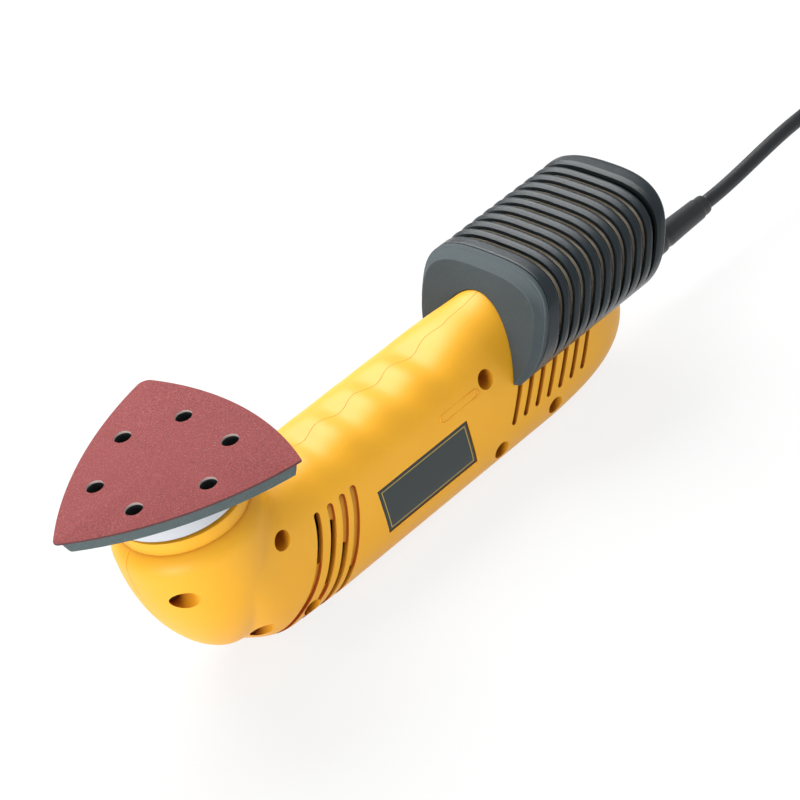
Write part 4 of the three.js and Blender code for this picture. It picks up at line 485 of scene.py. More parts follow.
def head_form(inset, sides=144):
    """The turned head as a closed form, drawn in by an inset: a bowl r = R cos(t)^(2/1.49),
    z = top - depth sin(t)^(2/2.25), then a rounded shoulder that ends inside the collar's foot."""
    turn = np.linspace(np.pi / 2, 0.0, 40)[1:]
    radius = HEAD_RADIUS * np.cos(turn) ** (2 / BOWL_POWER_OUT)
    height = BOWL_TOP - (BOWL_TOP - BOWL_BOTTOM) * np.sin(turn) ** (2 / BOWL_POWER_DOWN)
    full = radius > 2.2 * inset + 0.5
    bowl = np.stack([radius - inset, height + inset * 0.35 * turn / (np.pi / 2)], -1)[full]
    neck = np.array([(25.2 - inset, COLLAR_FOOT - inset / 2)])
    return turned_up(np.concatenate([bowl, SHOULDER - (inset, inset / 2), neck]), sides)


def turned_up(profile, sides):
    """A solid turned about the spindle's axis, closed by fans below and above."""
    return turned("turned_form", profile, (0.0, 0.0, 0.0), "z", sides, closed=False)


def settled(piece):
    """The piece with its modifiers worked into its mesh."""
    graph = bpy.context.evaluated_depsgraph_get()
    fresh = bpy.data.meshes.new_from_object(piece.evaluated_get(graph))
    spent = piece.data
    piece.modifiers.clear()
    piece.data = fresh
    bpy.data.meshes.remove(spent)
    return piece


def combined(piece, other, operation="DIFFERENCE"):
    """One closed solid cut by, joined to or kept only within another, which is then thrown away."""
    step = piece.modifiers.new("solid", "BOOLEAN")
    step.operation = operation
    step.solver = "MANIFOLD"
    step.object = other
    settled(piece)
    bpy.data.objects.remove(other)
    return piece


def copied(piece, name):
    """A separate copy of a piece and its mesh."""
    twin = bpy.data.objects.new(name, piece.data.copy())
    bpy.context.scene.collection.objects.link(twin)
    return twin


def block(low_corner, high_corner):
    """A plain cutting block between two corners in mm."""
    a, b = np.asarray(low_corner, float), np.asarray(high_corner, float)
    outline = np.array([(0, 0), (1, 0), (1, 1), (0, 1)], float)
    rows = [np.column_stack([a[:2] + outline * (b - a)[:2], np.full(4, z)]) for z in (a[2], b[2])]
    return skin("cutter", in_place(np.stack(rows)))


def across_bar(outline, start, end):
    """A side outline of [x, z] points carried across the tool between two places."""
    outline = np.asarray(outline, float)
    rows = [np.column_stack([outline[:, 0], np.full(len(outline), y), outline[:, 1]]) for y in (start, end)]
    return skin("cutter", in_place(np.stack(rows)))


def joined(pieces):
    """Several cutters as one object. They don't touch one another."""
    with bpy.context.temp_override(active_object=pieces[0], selected_editable_objects=pieces):
        bpy.ops.object.join()
    return pieces[0]


tail_share = 1.0 - (1.0 - np.linspace(0.0, 0.996, 40)) ** 1.6
grip_stations = np.concatenate([
    np.linspace(0.0, TAIL_START, 130)[:-1], TAIL_START + (TAIL_END - TAIL_START) * tail_share,
])
outer = grip_form(grip_stations, 160, 0.0)
combined(outer, head_form(0.0), "UNION")
remesh = outer.modifiers.new("one_skin", "REMESH")
remesh.mode = "VOXEL"
remesh.voxel_size = 0.85 * MM
relax = outer.modifiers.new("relaxed", "SMOOTH")
relax.factor = 0.5
relax.iterations = 10
shell = settled(outer)
cavity_stations = grip_stations[grip_stations < 206.0][::3]
combined(shell, grip_form(cavity_stations, 80, WALL))
combined(shell, head_form(WALL, 96))

# Screw wells: each is a plain round well into a boss that reaches the split
WELLS = [(132.4, 47.4), (130.9, 11.8), (162.9, 12.3), (20.5, 50.5), (-22.3, 51.4), (4.1, 12.7), (25.6, 9.3)]
BOSS_RADIUS, WELL_RADIUS, SCREW_RADIUS = 5.2, 4.0, 1.9


def well_bars(radius, start, end, sides):
    """Round bars across the tool, one at each screw."""
    c, s = circle(sides)
    return joined([
        across_bar(np.stack([x + radius * c, z + radius * s], -1), start, end) for x, z in WELLS])


bosses = well_bars(BOSS_RADIUS, -40.0, 40.0, 32)
boss_bound = combined(grip_form(cavity_stations, 80, WALL / 2), head_form(WALL / 2, 96), "UNION")
combined(bosses, boss_bound, "INTERSECT")
combined(shell, bosses, "UNION")

# Vents: four curved grooves on each side beside the fan, each with a slit in it, and seven slots in the tail
GROOVE_CENTRE = np.array((-34.2, 63.7))
GROOVES = [(74.9, -26.8, -12.4), (81.8, -34.0, -16.8), (88.0, -39.0, -24.5), (93.6, -38.5, -31.5)]
GROOVE_TOP, GROOVE_FOOT_ANGLE = 48.4, -52.0
GROOVE_HALF, SLIT_HALF, GROOVE_DEPTH = 1.5, 1.46, 1.2
VENT_COUNT, VENT_FIRST, VENT_PITCH, VENT_TOP = 7, 146.8, 6.85, 34.5
VENT_DROP, VENT_LEAN, VENT_HALF = 14.5, 0.57, 1.25
SIDE_SPANS = ((-38.0, -12.0), (12.0, 38.0))


def ray(angle):
    """Points one unit out at one or more angles."""
    return np.stack([np.cos(angle), np.sin(angle)], -1)


def curved_slot(radius, start, end, half, steps=28):
    """A band along an arc with round ends, as an outline. Angles are in radians."""
    arc = np.linspace(start, end, steps)
    cap = np.linspace(0.0, np.pi, 9)[1:-1]
    return GROOVE_CENTRE + np.concatenate([
        (radius + half) * ray(arc),
        radius * ray(end) + half * ray(end + cap),
        (radius - half) * ray(arc)[::-1],
        radius * ray(start) + half * ray(start + np.pi + cap),
    ])


groove_bars, slit_bars = [], []
for radius, slit_end, slit_start in GROOVES:
    top = np.arcsin((GROOVE_TOP - GROOVE_HALF - GROOVE_CENTRE[1]) / radius)
    groove = curved_slot(radius, np.radians(GROOVE_FOOT_ANGLE), top, GROOVE_HALF)
    slit = curved_slot(radius, np.radians(slit_end), np.radians(slit_start), SLIT_HALF, 14)
    groove_bars += [across_bar(groove, *span) for span in SIDE_SPANS]
    slit_bars += [across_bar(slit, *span) for span in SIDE_SPANS]
grooves = joined(groove_bars)
combined(grooves, grip_form(grip_stations[:90], 120, GROOVE_DEPTH))
combined(grooves, head_form(GROOVE_DEPTH, 120))
cap = np.linspace(0.0, np.pi, 9)
for number in range(VENT_COUNT):
    top = np.array((VENT_FIRST + VENT_PITCH * number, VENT_TOP))
    bottom = top - (VENT_LEAN * VENT_DROP, VENT_DROP)
    way = (top - bottom) / np.linalg.norm(top - bottom)
    lean = np.arctan2(way[1], way[0])
    vent = np.concatenate([
        top + 2 * VENT_HALF * way + VENT_HALF * ray(lean - np.pi / 2 + cap),
        bottom + VENT_HALF * way + VENT_HALF * ray(lean + np.pi / 2 + cap),
    ])
    slit_bars += [across_bar(vent, *span) for span in SIDE_SPANS]
combined(shell, joined(slit_bars))
combined(shell, grooves)

# Shallow seats for the label and the switch, 1 and 1.3 mm deep, that follow the grip
LABEL = (67.5, 116.5, 17.4, 38.2)
SWITCH_X, SWITCH_Z = 92.0, 40.5
SEAT_GAP, SEAT_X, SEAT_HALF = 0.3, SWITCH_X - 2.5, 13.5
mid_stations = np.linspace(46.0, 134.0, 90)
label_low = (LABEL[0] - SEAT_GAP, -40.0, LABEL[2] - SEAT_GAP)
label_high = (LABEL[1] + SEAT_GAP, -12.0, LABEL[3] + SEAT_GAP)
for low_corner, high_corner, depth in (
    (label_low, label_high, 1.0),
    ((SEAT_X - SEAT_HALF, 12.0, SWITCH_Z - 5.0), (SEAT_X + SEAT_HALF, 40.0, SWITCH_Z + 5.0), 1.3),
):
    combined(shell, combined(block(low_corner, high_corner), grip_form(mid_stations, 160, depth)))

# Openings for the switch's stem, its link and the dust, and the flat underside that the tool rests on
STEM_SLOT_HALF = 1.9
for low_corner, high_corner in (
    ((SWITCH_X - 8.3, 12.0, SWITCH_Z - STEM_SLOT_HALF), (SWITCH_X + 3.3, 40.0, SWITCH_Z + STEM_SLOT_HALF)),
    ((77.0, 21.2, SWITCH_Z - STEM_SLOT_HALF), (140.0, 23.0, SWITCH_Z + STEM_SLOT_HALF)),
    ((178.0, -9.0, 46.5), (192.0, 9.0, 80.0)),
    ((-60.0, -60.0, -10.0), (260.0, 60.0, 0.0)),
):
    combined(shell, block(low_corner, high_corner))


def round_bore(radius, start, end, centre=(0.0, 0.0, 0.0), axis="z", sides=64):
    """A plain round cutter along an axis."""
    return turned("bore", [(radius, start), (radius, end)], centre, axis, sides, False)


combined(shell, turned_up([
    (COLLAR_RADIUS - 1.9, COLLAR_FOOT - 3.0), (25.75, COLLAR_FOOT - 1.2), (25.85, COLLAR_FOOT + 0.6),
    (COLLAR_RADIUS, COLLAR_TOP - 0.5), (COLLAR_RADIUS - 0.15, COLLAR_TOP - 0.12),
    (COLLAR_RADIUS - 0.5, COLLAR_TOP),
], 192), "UNION")
combined(shell, round_bore(COLLAR_RADIUS - WALL, 66.0, 80.0, sides=192))
combined(shell, round_bore(6.3, 195.0, 226.0, (0.0, 0.0, CORD_AXIS), "x"))
far_shell = copied(shell, "left_shell")
shell.name = "right_shell"

# The split runs down the middle, and above the wells it sways across with the finger waves
SEAM_SWAY, SWAY_FOOT, SWAY_FULL = 1.0, 54.0, 57.5


def half_cutter(side):
    """A cutter that fills one side of the split."""
    stations = np.linspace(-60.0, 260.0, 961)
    face, far = np.full(961, side * SEAM), np.full(961, side * 60.0)
    sway = face + SEAM_SWAY * wave(stations) / WAVE_HEIGHT
    outline = ((far, -10.0), (face, -10.0), (face, SWAY_FOOT), (sway, SWAY_FULL), (sway, 90.0), (far, 90.0))
    return skin("cutter", in_place(np.stack([
        np.stack([stations, y, np.full(961, z)], -1) for y, z in outline
    ], 1)))


combined(shell, half_cutter(-1.0), "INTERSECT")
combined(far_shell, half_cutter(1.0), "INTERSECT")
combined(shell, well_bars(WELL_RADIUS, -44.0, -9.0, 64))
combined(shell, well_bars(SCREW_RADIUS, -9.5, 4.0, 24))
combined(far_shell, well_bars(SCREW_RADIUS, -4.0, 8.3, 24))

# Painted shade: an occlusion mask draws deep wells, slots and holes towards a deeper colour, in place of the
# shade and the coloured bounce light inside them
painted_recess_shade_group, given, result = effect_group(
    "painted_recess_shade", {"Reach": 0.006, "Closed": 0.3, "Open": 0.85}, ("Mask",))
openness = node(painted_recess_shade_group, "AmbientOcclusion", {"Distance": given["Reach"]}, samples=8, only_local=True)
feed(painted_recess_shade_group, result["Mask"], between(
    painted_recess_shade_group, openness.outputs["AO"], given["Closed"], given["Open"]))


def with_painted_recess_shade(material, colour, reach, closed, open_at):
    """The material with painted shade in its recesses: an occlusion mask draws them towards a deeper colour.
    """
    tree, base = material.node_tree, shader_of(material)["Base Color"]
    shade = node(tree, "Group", {"Reach": reach, "Closed": closed, "Open": open_at}, node_tree=painted_recess_shade_group)
    feed(tree, base, colour_mix(tree, shade.outputs["Mask"], colour, base.links[0].from_socket))
    return material


# Painted shade: the wells, grooves and slits of the yellow housing are drawn towards a deep orange by the
# occlusion mask
yellow_plastic = with_painted_recess_shade(moulded(
    "yellow_plastic", linear(246, 176, 36), linear(251, 186, 46), (0.36, 0.48), 2600.0, 0.00005, 26.0),
    linear(158, 62, 18), 0.007, 0.42, 0.9)
shader_of(yellow_plastic)["Specular IOR Level"].default_value = 0.38
for piece, cad_node in ((shell, "right_housing"), (far_shell, "left_housing")):
    give(piece, yellow_plastic)
    creased(piece, 32)
    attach(piece, "housing")
    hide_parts(cad_node)


# Label plate: a thin dark satin plate, stuck in its seat on the near side. It is bare but for a fine printed
# frame line.
LABEL_CORNER, LABEL_EDGE = 0.8, 0.25
LABEL_SUNK, LABEL_THICK = 0.1, 0.6
FRAME_INSET, FRAME_LINE = 1.5, 0.35


def grip_side(x, z, inset):
    """Half width of the grip at a station and height, from its superellipse: y = a (1 - |z/b|^3)^(1/3)."""
    half_height = GRIP_HALF_HEIGHT + np.where(z > AXIS, wave(x), BELLY) - inset
    inner = 1.0 - np.clip(np.abs(z - AXIS) / half_height, 0.0, 1.0) ** GRIP_POWER
    return (GRIP_HALF_WIDTH - inset) * inner ** (1 / GRIP_POWER)


def closed_plate(name, front, back):
    """A closed plate between two grids of points, with a wall of quads round its rim."""
    rows, columns = front.shape[:2]
    count = rows * columns
    i = np.arange(rows - 1)[:, None] * columns + np.arange(columns - 1)[None, :]
    quads = np.stack([i, i + 1, i + columns + 1, i + columns], -1).reshape(-1, 4)
    rim = np.concatenate([
        np.arange(columns), np.arange(2, rows + 1) * columns - 1,
        count - 2 - np.arange(columns - 1), np.arange(rows - 2, 0, -1) * columns,
    ])
    after = np.roll(rim, -1)
    wall = np.stack([rim, rim + count, after + count, after], -1)
    points = np.concatenate([front.reshape(-1, 3), back.reshape(-1, 3)])
    return mesh_object(name, in_place(points), np.concatenate([quads, quads[:, ::-1] + count, wall]))


def over_base(material, share, colour):
    """The material's own colour gives way to another by a share that comes from a socket."""
    tree, base = material.node_tree, shader_of(material)["Base Color"]
    feed(tree, base, colour_mix(tree, share, base.links[0].from_socket, colour))


half_x, half_z = (LABEL[1] - LABEL[0]) / 2, (LABEL[3] - LABEL[2]) / 2
middle_x, middle_z = (LABEL[0] + LABEL[1]) / 2, (LABEL[2] + LABEL[3]) / 2
x = np.linspace(-half_x, half_x, 81)[None, :]
z = np.linspace(-half_z, half_z, 41)[:, None]
over_x = np.maximum(np.abs(x) - half_x + LABEL_CORNER, 0)
over_z = np.maximum(np.abs(z) - half_z + LABEL_CORNER, 0)
over = np.hypot(over_x, over_z)
pull = np.where(over > LABEL_CORNER, LABEL_CORNER / np.maximum(over, 1e-9), 1.0)
x = np.sign(x) * (np.minimum(np.abs(x), half_x - LABEL_CORNER) + over_x * pull)
z = np.sign(z) * (np.minimum(np.abs(z), half_z - LABEL_CORNER) + over_z * pull)
edge = np.minimum(half_x - np.abs(x), half_z - np.abs(z))
edge_fall = LABEL_EDGE * np.clip(1.0 - edge / LABEL_EDGE, 0.0, 1.0) ** 2
x, z = x + middle_x, z + middle_z
seat = grip_side(x, z, LABEL_SUNK)
label = closed_plate(
    "label_face", np.stack([x, edge_fall - seat, z], -1), np.stack([x, LABEL_THICK - seat, z], -1))
creased(label, 30)
label_satin = moulded(
    "label_satin", linear(33, 44, 46), linear(42, 53, 55), (0.38, 0.48), 3200.0, 0.00003, 22.0)
tree = label_satin.node_tree
middle = in_place((middle_x, 0.0, middle_z)).tolist()
axes = node(tree, "SeparateXYZ", {0: node(tree, "TexCoord").outputs["Object"]}).outputs
from_rim = []
for axis, centre, half in (("X", middle[0], half_x), ("Z", middle[2], half_z)):
    offset = reckon(tree, "ABSOLUTE", reckon(tree, "SUBTRACT", axes[axis], centre))
    from_rim.append(reckon(tree, "SUBTRACT", offset, half * MM))
from_line = reckon(tree, "ADD", reckon(tree, "MAXIMUM", *from_rim), FRAME_INSET * MM)
line = between(
    tree, reckon(tree, "ABSOLUTE", from_line), 0.65 * FRAME_LINE * MM, 0.35 * FRAME_LINE * MM)
over_base(label_satin, line, linear(196, 168, 60))
give(label, label_satin)
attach(label, "housing")
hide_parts("label_plate")


# Pill outline: a thin bead that stands out of the near side above the label, with nothing in it. It is
# moulded with the housing and has its yellow.
PILL_LEFT, PILL_RIGHT, PILL_HEIGHT, PILL_RADIUS = 105.5, 126.3, 46.0, 1.6
BEAD_RADIUS = 0.22
c, s = circle(64)
straight = (PILL_RIGHT - PILL_LEFT) / 2 - PILL_RADIUS
pill_x = (PILL_LEFT + PILL_RIGHT) / 2 + PILL_RADIUS * c + np.sign(c) * straight
pill_line = np.stack([pill_x, np.zeros(64), PILL_HEIGHT + PILL_RADIUS * s], -1)
closed_line = np.concatenate([pill_line, pill_line[:1]])
along = np.concatenate([[0.0], np.cumsum(np.linalg.norm(np.diff(closed_line, axis=0), axis=1))])
stops = np.linspace(0.0, along[-1], 160, endpoint=False)
bead_x, bead_z = np.interp(stops, along, closed_line[:, 0]), np.interp(stops, along, closed_line[:, 2])
bead = np.stack([bead_x, -grip_side(bead_x, bead_z, 0.0), bead_z], -1)
bead_way = np.roll(bead, -1, 0) - np.roll(bead, 1, 0)
bead_way /= np.linalg.norm(bead_way, axis=1, keepdims=True)
bead_out = np.cross(bead_way, np.cross(np.broadcast_to((0.0, -1.0, 0.0), bead.shape), bead_way))
bead_out /= np.linalg.norm(bead_out, axis=1, keepdims=True)
bead_side = np.cross(bead_way, bead_out)
c, s = circle(10)
ring = c[None, :, None] * bead_out[:, None] + s[None, :, None] * bead_side[:, None]
pill = skin("pill_bead", in_place(bead[:, None] + BEAD_RADIUS * ring), ring=True)
give(pill, yellow_plastic)
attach(pill, "housing")


# Switch button: a slate plastic slider with three finger ridges, in its seat on the far side. Its stem goes
# through the housing to a flat link that works the switch.
BUTTON_LENGTH, BUTTON_WIDTH, BUTTON_ROUND, BUTTON_LIFT = 18.0, 8.0, 0.7, 1.35
RIDGE_HEIGHT, RIDGE_HALF, RIDGE_PLACES = 0.45, 0.75, (-4.0, 0.0, 4.0)
STEM_HALF, LINK_HALF, LINK_INNER = 3.0, 1.6, 21.5
u = np.linspace(-1.0, 1.0, 121)[None, :]
v = np.linspace(-1.0, 1.0, 49)[:, None]
x = SWITCH_X + u * BUTTON_LENGTH / 2 + 0.0 * v
z = SWITCH_Z + v * BUTTON_WIDTH / 2 + 0.0 * u
edge = np.minimum((1.0 - np.abs(u)) * BUTTON_LENGTH / 2, (1.0 - np.abs(v)) * BUTTON_WIDTH / 2)
rounding = BUTTON_ROUND * np.clip(1.0 - edge / BUTTON_ROUND, 0.0, 1.0) ** 2
ridges = RIDGE_HEIGHT * sum(np.exp(-((x - SWITCH_X - place) / RIDGE_HALF) ** 2) for place in RIDGE_PLACES)
top_y = grip_side(x, z, -BUTTON_LIFT) - rounding + ridges * (edge > 0.01) - 0.15
button = closed_plate(
    "slide_button", np.stack([x, top_y, z], -1), np.stack([x, grip_side(x, z, 1.0), z], -1))
creased(button, 40)
low_z, high_z = SWITCH_Z - LINK_HALF, SWITCH_Z + LINK_HALF
stem = block((SWITCH_X - STEM_HALF, LINK_INNER, low_z), (SWITCH_X + STEM_HALF, 24.8, high_z))
combined(stem, block((86.0, LINK_INNER, low_z), (136.0, 22.7, high_z)), "UNION")
stem.name = "switch_link"
slate_plastic = moulded(
    "slate_plastic", linear(46, 55, 60), linear(58, 68, 73), (0.38, 0.5), 2000.0, 0.00012, 35.0,
    linear(120, 132, 138))
for piece in (button, stem):
    give(piece, slate_plastic)
    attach(piece, "switch")
    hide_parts("switch_button")


# Dust box front: a flat slate plate with an arched opening that sits over the neck. A soft chamfer and a fine
# line run round its edge, and it clips to the cage behind it. A painted highlight makes the chamfer paler,
# and the plate's slate is painted lighter than the cage's for the light on its face.
BOX_HALF_WIDTH, BOX_TOP, BOX_OFFSET, BOX_POWER = 36.0, 78.7, 0.8, 3.1
BOX_WAIST, BOX_TUCK, BOX_TOP_LINE = 57.0, 30.0, 76.5
BOX_FRONT, BOX_REAR = 162.0, 241.0
REAR_LEAN, REAR_BOW, BOW_RUN = 0.38, 3.5, 9.0
PLATE_BOTTOM, NECK_CLEAR = 35.6, 0.4
PLATE_EDGE = np.array([
    (0.0, 7.0), (0.0, 5.0), (0.0, 4.1), (0.0, 3.75), (0.05, 3.55), (0.2, 3.4), (0.5, 3.18), (1.0, 2.75),
    (1.6, 2.2), (2.2, 1.6), (2.6, 1.15), (2.75, 0.95), (2.9, 0.9), (3.0, 0.75), (3.1, 0.3), (3.3, 0.08),
    (3.6, 0.0), (4.4, 0.0), (4.65, 0.1), (4.8, 0.4),
])
FACE_SHARES = (0.94, 0.84, 0.7, 0.54, 0.36, 0.16)


def box_lean(station, y, z):
    """Place along the tool of a point in a leaning section. The slant eases off behind the front plate, and
    the rear wall bows forward by the square of the place across."""
    slant = mixed(LEAN, REAR_LEAN, eased(station, BOX_FRONT, BOX_FRONT + (BOX_REAR - BOX_FRONT) / 3))
    bow = REAR_BOW * eased(station, BOX_REAR - BOW_RUN, BOX_REAR) * (y / BOX_HALF_WIDTH) ** 2
    return station + slant * (z - BOX_TOP_LINE) - bow


def box_face(ring, station, shares):
    """Rows that draw a section in towards its middle by shares of its size, on the same leaning face."""
    share = np.asarray(shares)[:, None]
    y, z = ring[:, 1] + BOX_OFFSET, ring[:, 2]
    y, z = mixed(y.mean(), y, share), mixed(z.mean(), z, share)
    return np.stack([box_lean(station, y, z), y - BOX_OFFSET, z], -1)


def box_rings(stations, inset, bottom, sides):
    """Leaning sections of the dust box, one row each: a superellipse of power 3.1 above the waist and an
    ellipse below it, from foot to foot. The inset may change from point to point."""
    station = np.asarray(stations, float)[:, None]
    inset = np.asarray(inset, float)
    foot = -np.arcsin((BOX_WAIST - bottom) / BOX_TUCK)
    turn = np.linspace(foot, np.pi - foot, sides)[None, :]
    upper = np.sin(turn) >= 0
    exponent = np.where(upper, 2 / BOX_POWER, 1.0)
    y = (BOX_HALF_WIDTH - inset) * signed_power(np.cos(turn), exponent)
    height = np.where(upper, BOX_TOP - BOX_WAIST - inset, BOX_TUCK)
    z = BOX_WAIST + height * signed_power(np.sin(turn), exponent)
    return np.stack(np.broadcast_arrays(box_lean(station, y, z), y - BOX_OFFSET, z), -1)


plate_rows = box_rings(BOX_FRONT + PLATE_EDGE[:, 0], PLATE_EDGE[:, 1:], PLATE_BOTTOM, 220)
plate = skin("box_face_plate", in_place(np.concatenate([
    box_face(plate_rows[0], BOX_FRONT, FACE_SHARES[::-1]),
    plate_rows,
    box_face(plate_rows[-1], BOX_FRONT + PLATE_EDGE[-1, 0], FACE_SHARES),
])))
arch_stations = np.linspace(NECK_FOOT - 30.0, 205.0, 70)
combined(plate, grip_form(arch_stations, 160, -NECK_CLEAR))
face_way = np.array((-1.0, 0.0, LEAN)) / np.hypot(1.0, LEAN)
plate_normals = np.zeros(3 * len(plate.data.polygons))
plate.data.polygons.foreach_get("normal", plate_normals)
plate.data.polygons.foreach_set("use_smooth", plate_normals.reshape(-1, 3) @ face_way < 0.9999)
plate.data.set_sharp_from_angle(angle=np.radians(26))
# Painted light: the plate's slate is lighter than the cage's, for the light that catches its face
plate_plastic = moulded(
    "plate_plastic", linear(62, 71, 75), linear(76, 86, 90), (0.5, 0.62), 2000.0, 0.00022, 34.0)
shader_of(plate_plastic)["Specular IOR Level"].default_value = 0.25
tree = plate_plastic.node_tree
# Painted highlight: the chamfer round the face, picked out by the way the surface faces, is made paler
surface_way = node(tree, "NewGeometry").outputs["Normal"]
facing = node(
    tree, "VectorMath", {0: surface_way, 1: face_way.tolist()}, operation="DOT_PRODUCT").outputs["Value"]
painted_edge_highlight = reckon(tree, "MULTIPLY", between(tree, facing, 0.8, 0.93), between(tree, facing, 0.992, 0.96))
over_base(plate_plastic, painted_edge_highlight, linear(84, 94, 98))
give(plate, plate_plastic)
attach(plate, "dust_box")
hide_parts("dust_box_front")


# Dust box cage: one slate moulding with eleven rounded ribs. Ten leaning slots run over its top and down both
# sides, and end in points above a plain band.
BOX_WALL = 2.2
SLOT_FIRST, SLOT_PITCH, SLOT_COUNT, SLOT_LEAN = 174.3, 6.19, 10, 0.38
SLOT_HALF, SLOT_WIDE, SLOT_POINT = 1.3, 60.0, 42.0
SLOT_SIDE = [(SLOT_POINT, 0.15), (45.0, 0.6), (51.0, 1.05), (SLOT_WIDE, SLOT_HALF), (90.0, SLOT_HALF)]
CAGE_FRONT, CAGE_BOTTOM = BOX_FRONT + PLATE_EDGE[-1, 0] + 0.3, 37.4
REAR_ROUND, RIB_DIP = 4.0, 1.4
rear_turn = np.linspace(0.0, np.pi / 2, 12)[1:]
cage_stations = np.concatenate([
    CAGE_FRONT + np.array((0.0, 0.25, 0.6)),
    np.linspace(CAGE_FRONT + 1.0, BOX_REAR - REAR_ROUND, 230),
    BOX_REAR - REAR_ROUND * (1.0 - np.sin(rear_turn)),
])
rear_inset = np.concatenate([
    (0.35, 0.08, 0.0), np.zeros(230), REAR_ROUND * (1.0 - np.cos(rear_turn)),
])[:, None]
plain = box_rings(cage_stations, rear_inset, CAGE_BOTTOM, 240)
slot_phase = (plain[..., 0] - SLOT_LEAN * (plain[..., 2] - BOX_TOP_LINE) - SLOT_FIRST) / SLOT_PITCH
ribbed = eased(slot_phase, -0.55, -0.45) * (1.0 - eased(slot_phase, SLOT_COUNT - 0.55, SLOT_COUNT - 0.45))
valley = 0.5 + 0.5 * np.cos(2 * np.pi * slot_phase)
dip = RIB_DIP * valley * ribbed * eased(plain[..., 2], SLOT_POINT - 1.0, SLOT_WIDE)
cage_rows = box_rings(cage_stations, rear_inset + dip, CAGE_BOTTOM, 240)
cage = skin("box_cage", in_place(np.concatenate([cage_rows, box_face(cage_rows[-1], BOX_REAR, FACE_SHARES)])))
inner_stations = np.array((CAGE_FRONT - 4.0, 180.0, 200.0, 220.0, BOX_REAR - 2.4))
combined(cage, skin("inner", in_place(box_rings(inner_stations, BOX_WALL, CAGE_BOTTOM - 1.5, 120))))
combined(cage, grip_form(arch_stations, 160, -NECK_CLEAR))
combined(cage, block((100.0, -60.0, 20.0), (260.0, 60.0, CAGE_BOTTOM - 0.01)))
slot_bars = []
for number in range(SLOT_COUNT):
    at = SLOT_FIRST + SLOT_PITCH * number
    sides = [(at + SLOT_LEAN * (z - BOX_TOP_LINE) + half, z) for z, half in SLOT_SIDE]
    sides += [(at + SLOT_LEAN * (z - BOX_TOP_LINE) - half, z) for z, half in SLOT_SIDE[::-1]]
    slot_bars.append(across_bar(sides, -50.0, 50.0))
combined(cage, joined(slot_bars))
creased(cage, 30)
# Painted shade: the insides of the cage's slots are drawn towards near black by the occlusion mask
cage_plastic = with_painted_recess_shade(moulded(
    "cage_plastic", linear(28, 36, 40), linear(40, 49, 54), (0.2, 0.3), 2400.0, 0.00012, 40.0),
    linear(6, 7, 8), 0.005, 0.4, 0.92)
shader_of(cage_plastic)["Specular IOR Level"].default_value = 0.3
give(cage, cage_plastic)
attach(cage, "dust_box")
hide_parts("dust_box_cage")


# Filter: a sleeve of tan paper, folded so that one crest lies below each slot. It fits over the neck, under
# the cage, and comes off with it.
FILTER_BOTTOM, FILTER_GAP, PLEAT_DEPTH, FILTER_BACK = 47.0, 0.9, 3.2, 5.2
filter_stations = np.linspace(
    SLOT_FIRST - SLOT_PITCH / 2, SLOT_FIRST + (SLOT_COUNT - 0.5) * SLOT_PITCH - 0.3, 321)
fold = (filter_stations - SLOT_FIRST) / SLOT_PITCH
fold_depth = FILTER_GAP + PLEAT_DEPTH * np.clip(5.5 * np.abs(fold - np.round(fold)), 0.0, 1.0) ** 0.7
outer_arch = box_rings(filter_stations, (BOX_WALL + fold_depth)[:, None], FILTER_BOTTOM, 90)
inner_arch = box_rings(filter_stations, BOX_WALL + FILTER_BACK, FILTER_BOTTOM, 90)[:, ::-1]
pleats = skin("pleated_paper", in_place(np.concatenate([outer_arch, inner_arch], 1)))
combined(pleats, grip_form(arch_stations, 120, -NECK_CLEAR))
creased(pleats, 35)
filter_paper, tree, place = new_material("filter_paper")
drawn = node(tree, "Mapping", {"Vector": place, "Scale": (1.0, 0.35, 1.0)}).outputs["Vector"]
fibres = noise(tree, drawn, 900.0, 4.0)
paper = colour_mix(tree, fibres, linear(222, 208, 184), linear(244, 234, 214))
paper = colour_mix(tree, noise(tree, place, 45.0, 3.0), paper, linear(220, 206, 184))
surfaced(filter_paper, paper, 0.92, fibres, 0.00015, 0.8)
# Painted shade: the folds between the pleats are drawn towards dark brown by the occlusion mask
give(pleats, with_painted_recess_shade(filter_paper, linear(58, 48, 38), 0.003, 0.5, 0.96))
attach(pleats, "dust_box")
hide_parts("pleated_filter")


# Abrasive sheet: red aluminium-oxide paper with a fleece back, cut to three bowed sides, with six dust holes
# punched through. It sticks to the foam by hook and loop.
PAD_CORNERS = np.array([(28.6, -47.8), (28.6, 47.8), (-52.3, 0.0)])
PAD_SAGS = (9.2, 8.0, 8.0)
PAD_CENTRE_X = -1.0
CORNER_RADII = (1.0, 4.5, 2.6)
SHEET_BACK, PAD_FACE = 93.5, 94.5
HOLE_RING, HOLE_RADIUS, HOLE_SPREAD = 26.1, 3.5, 32.6


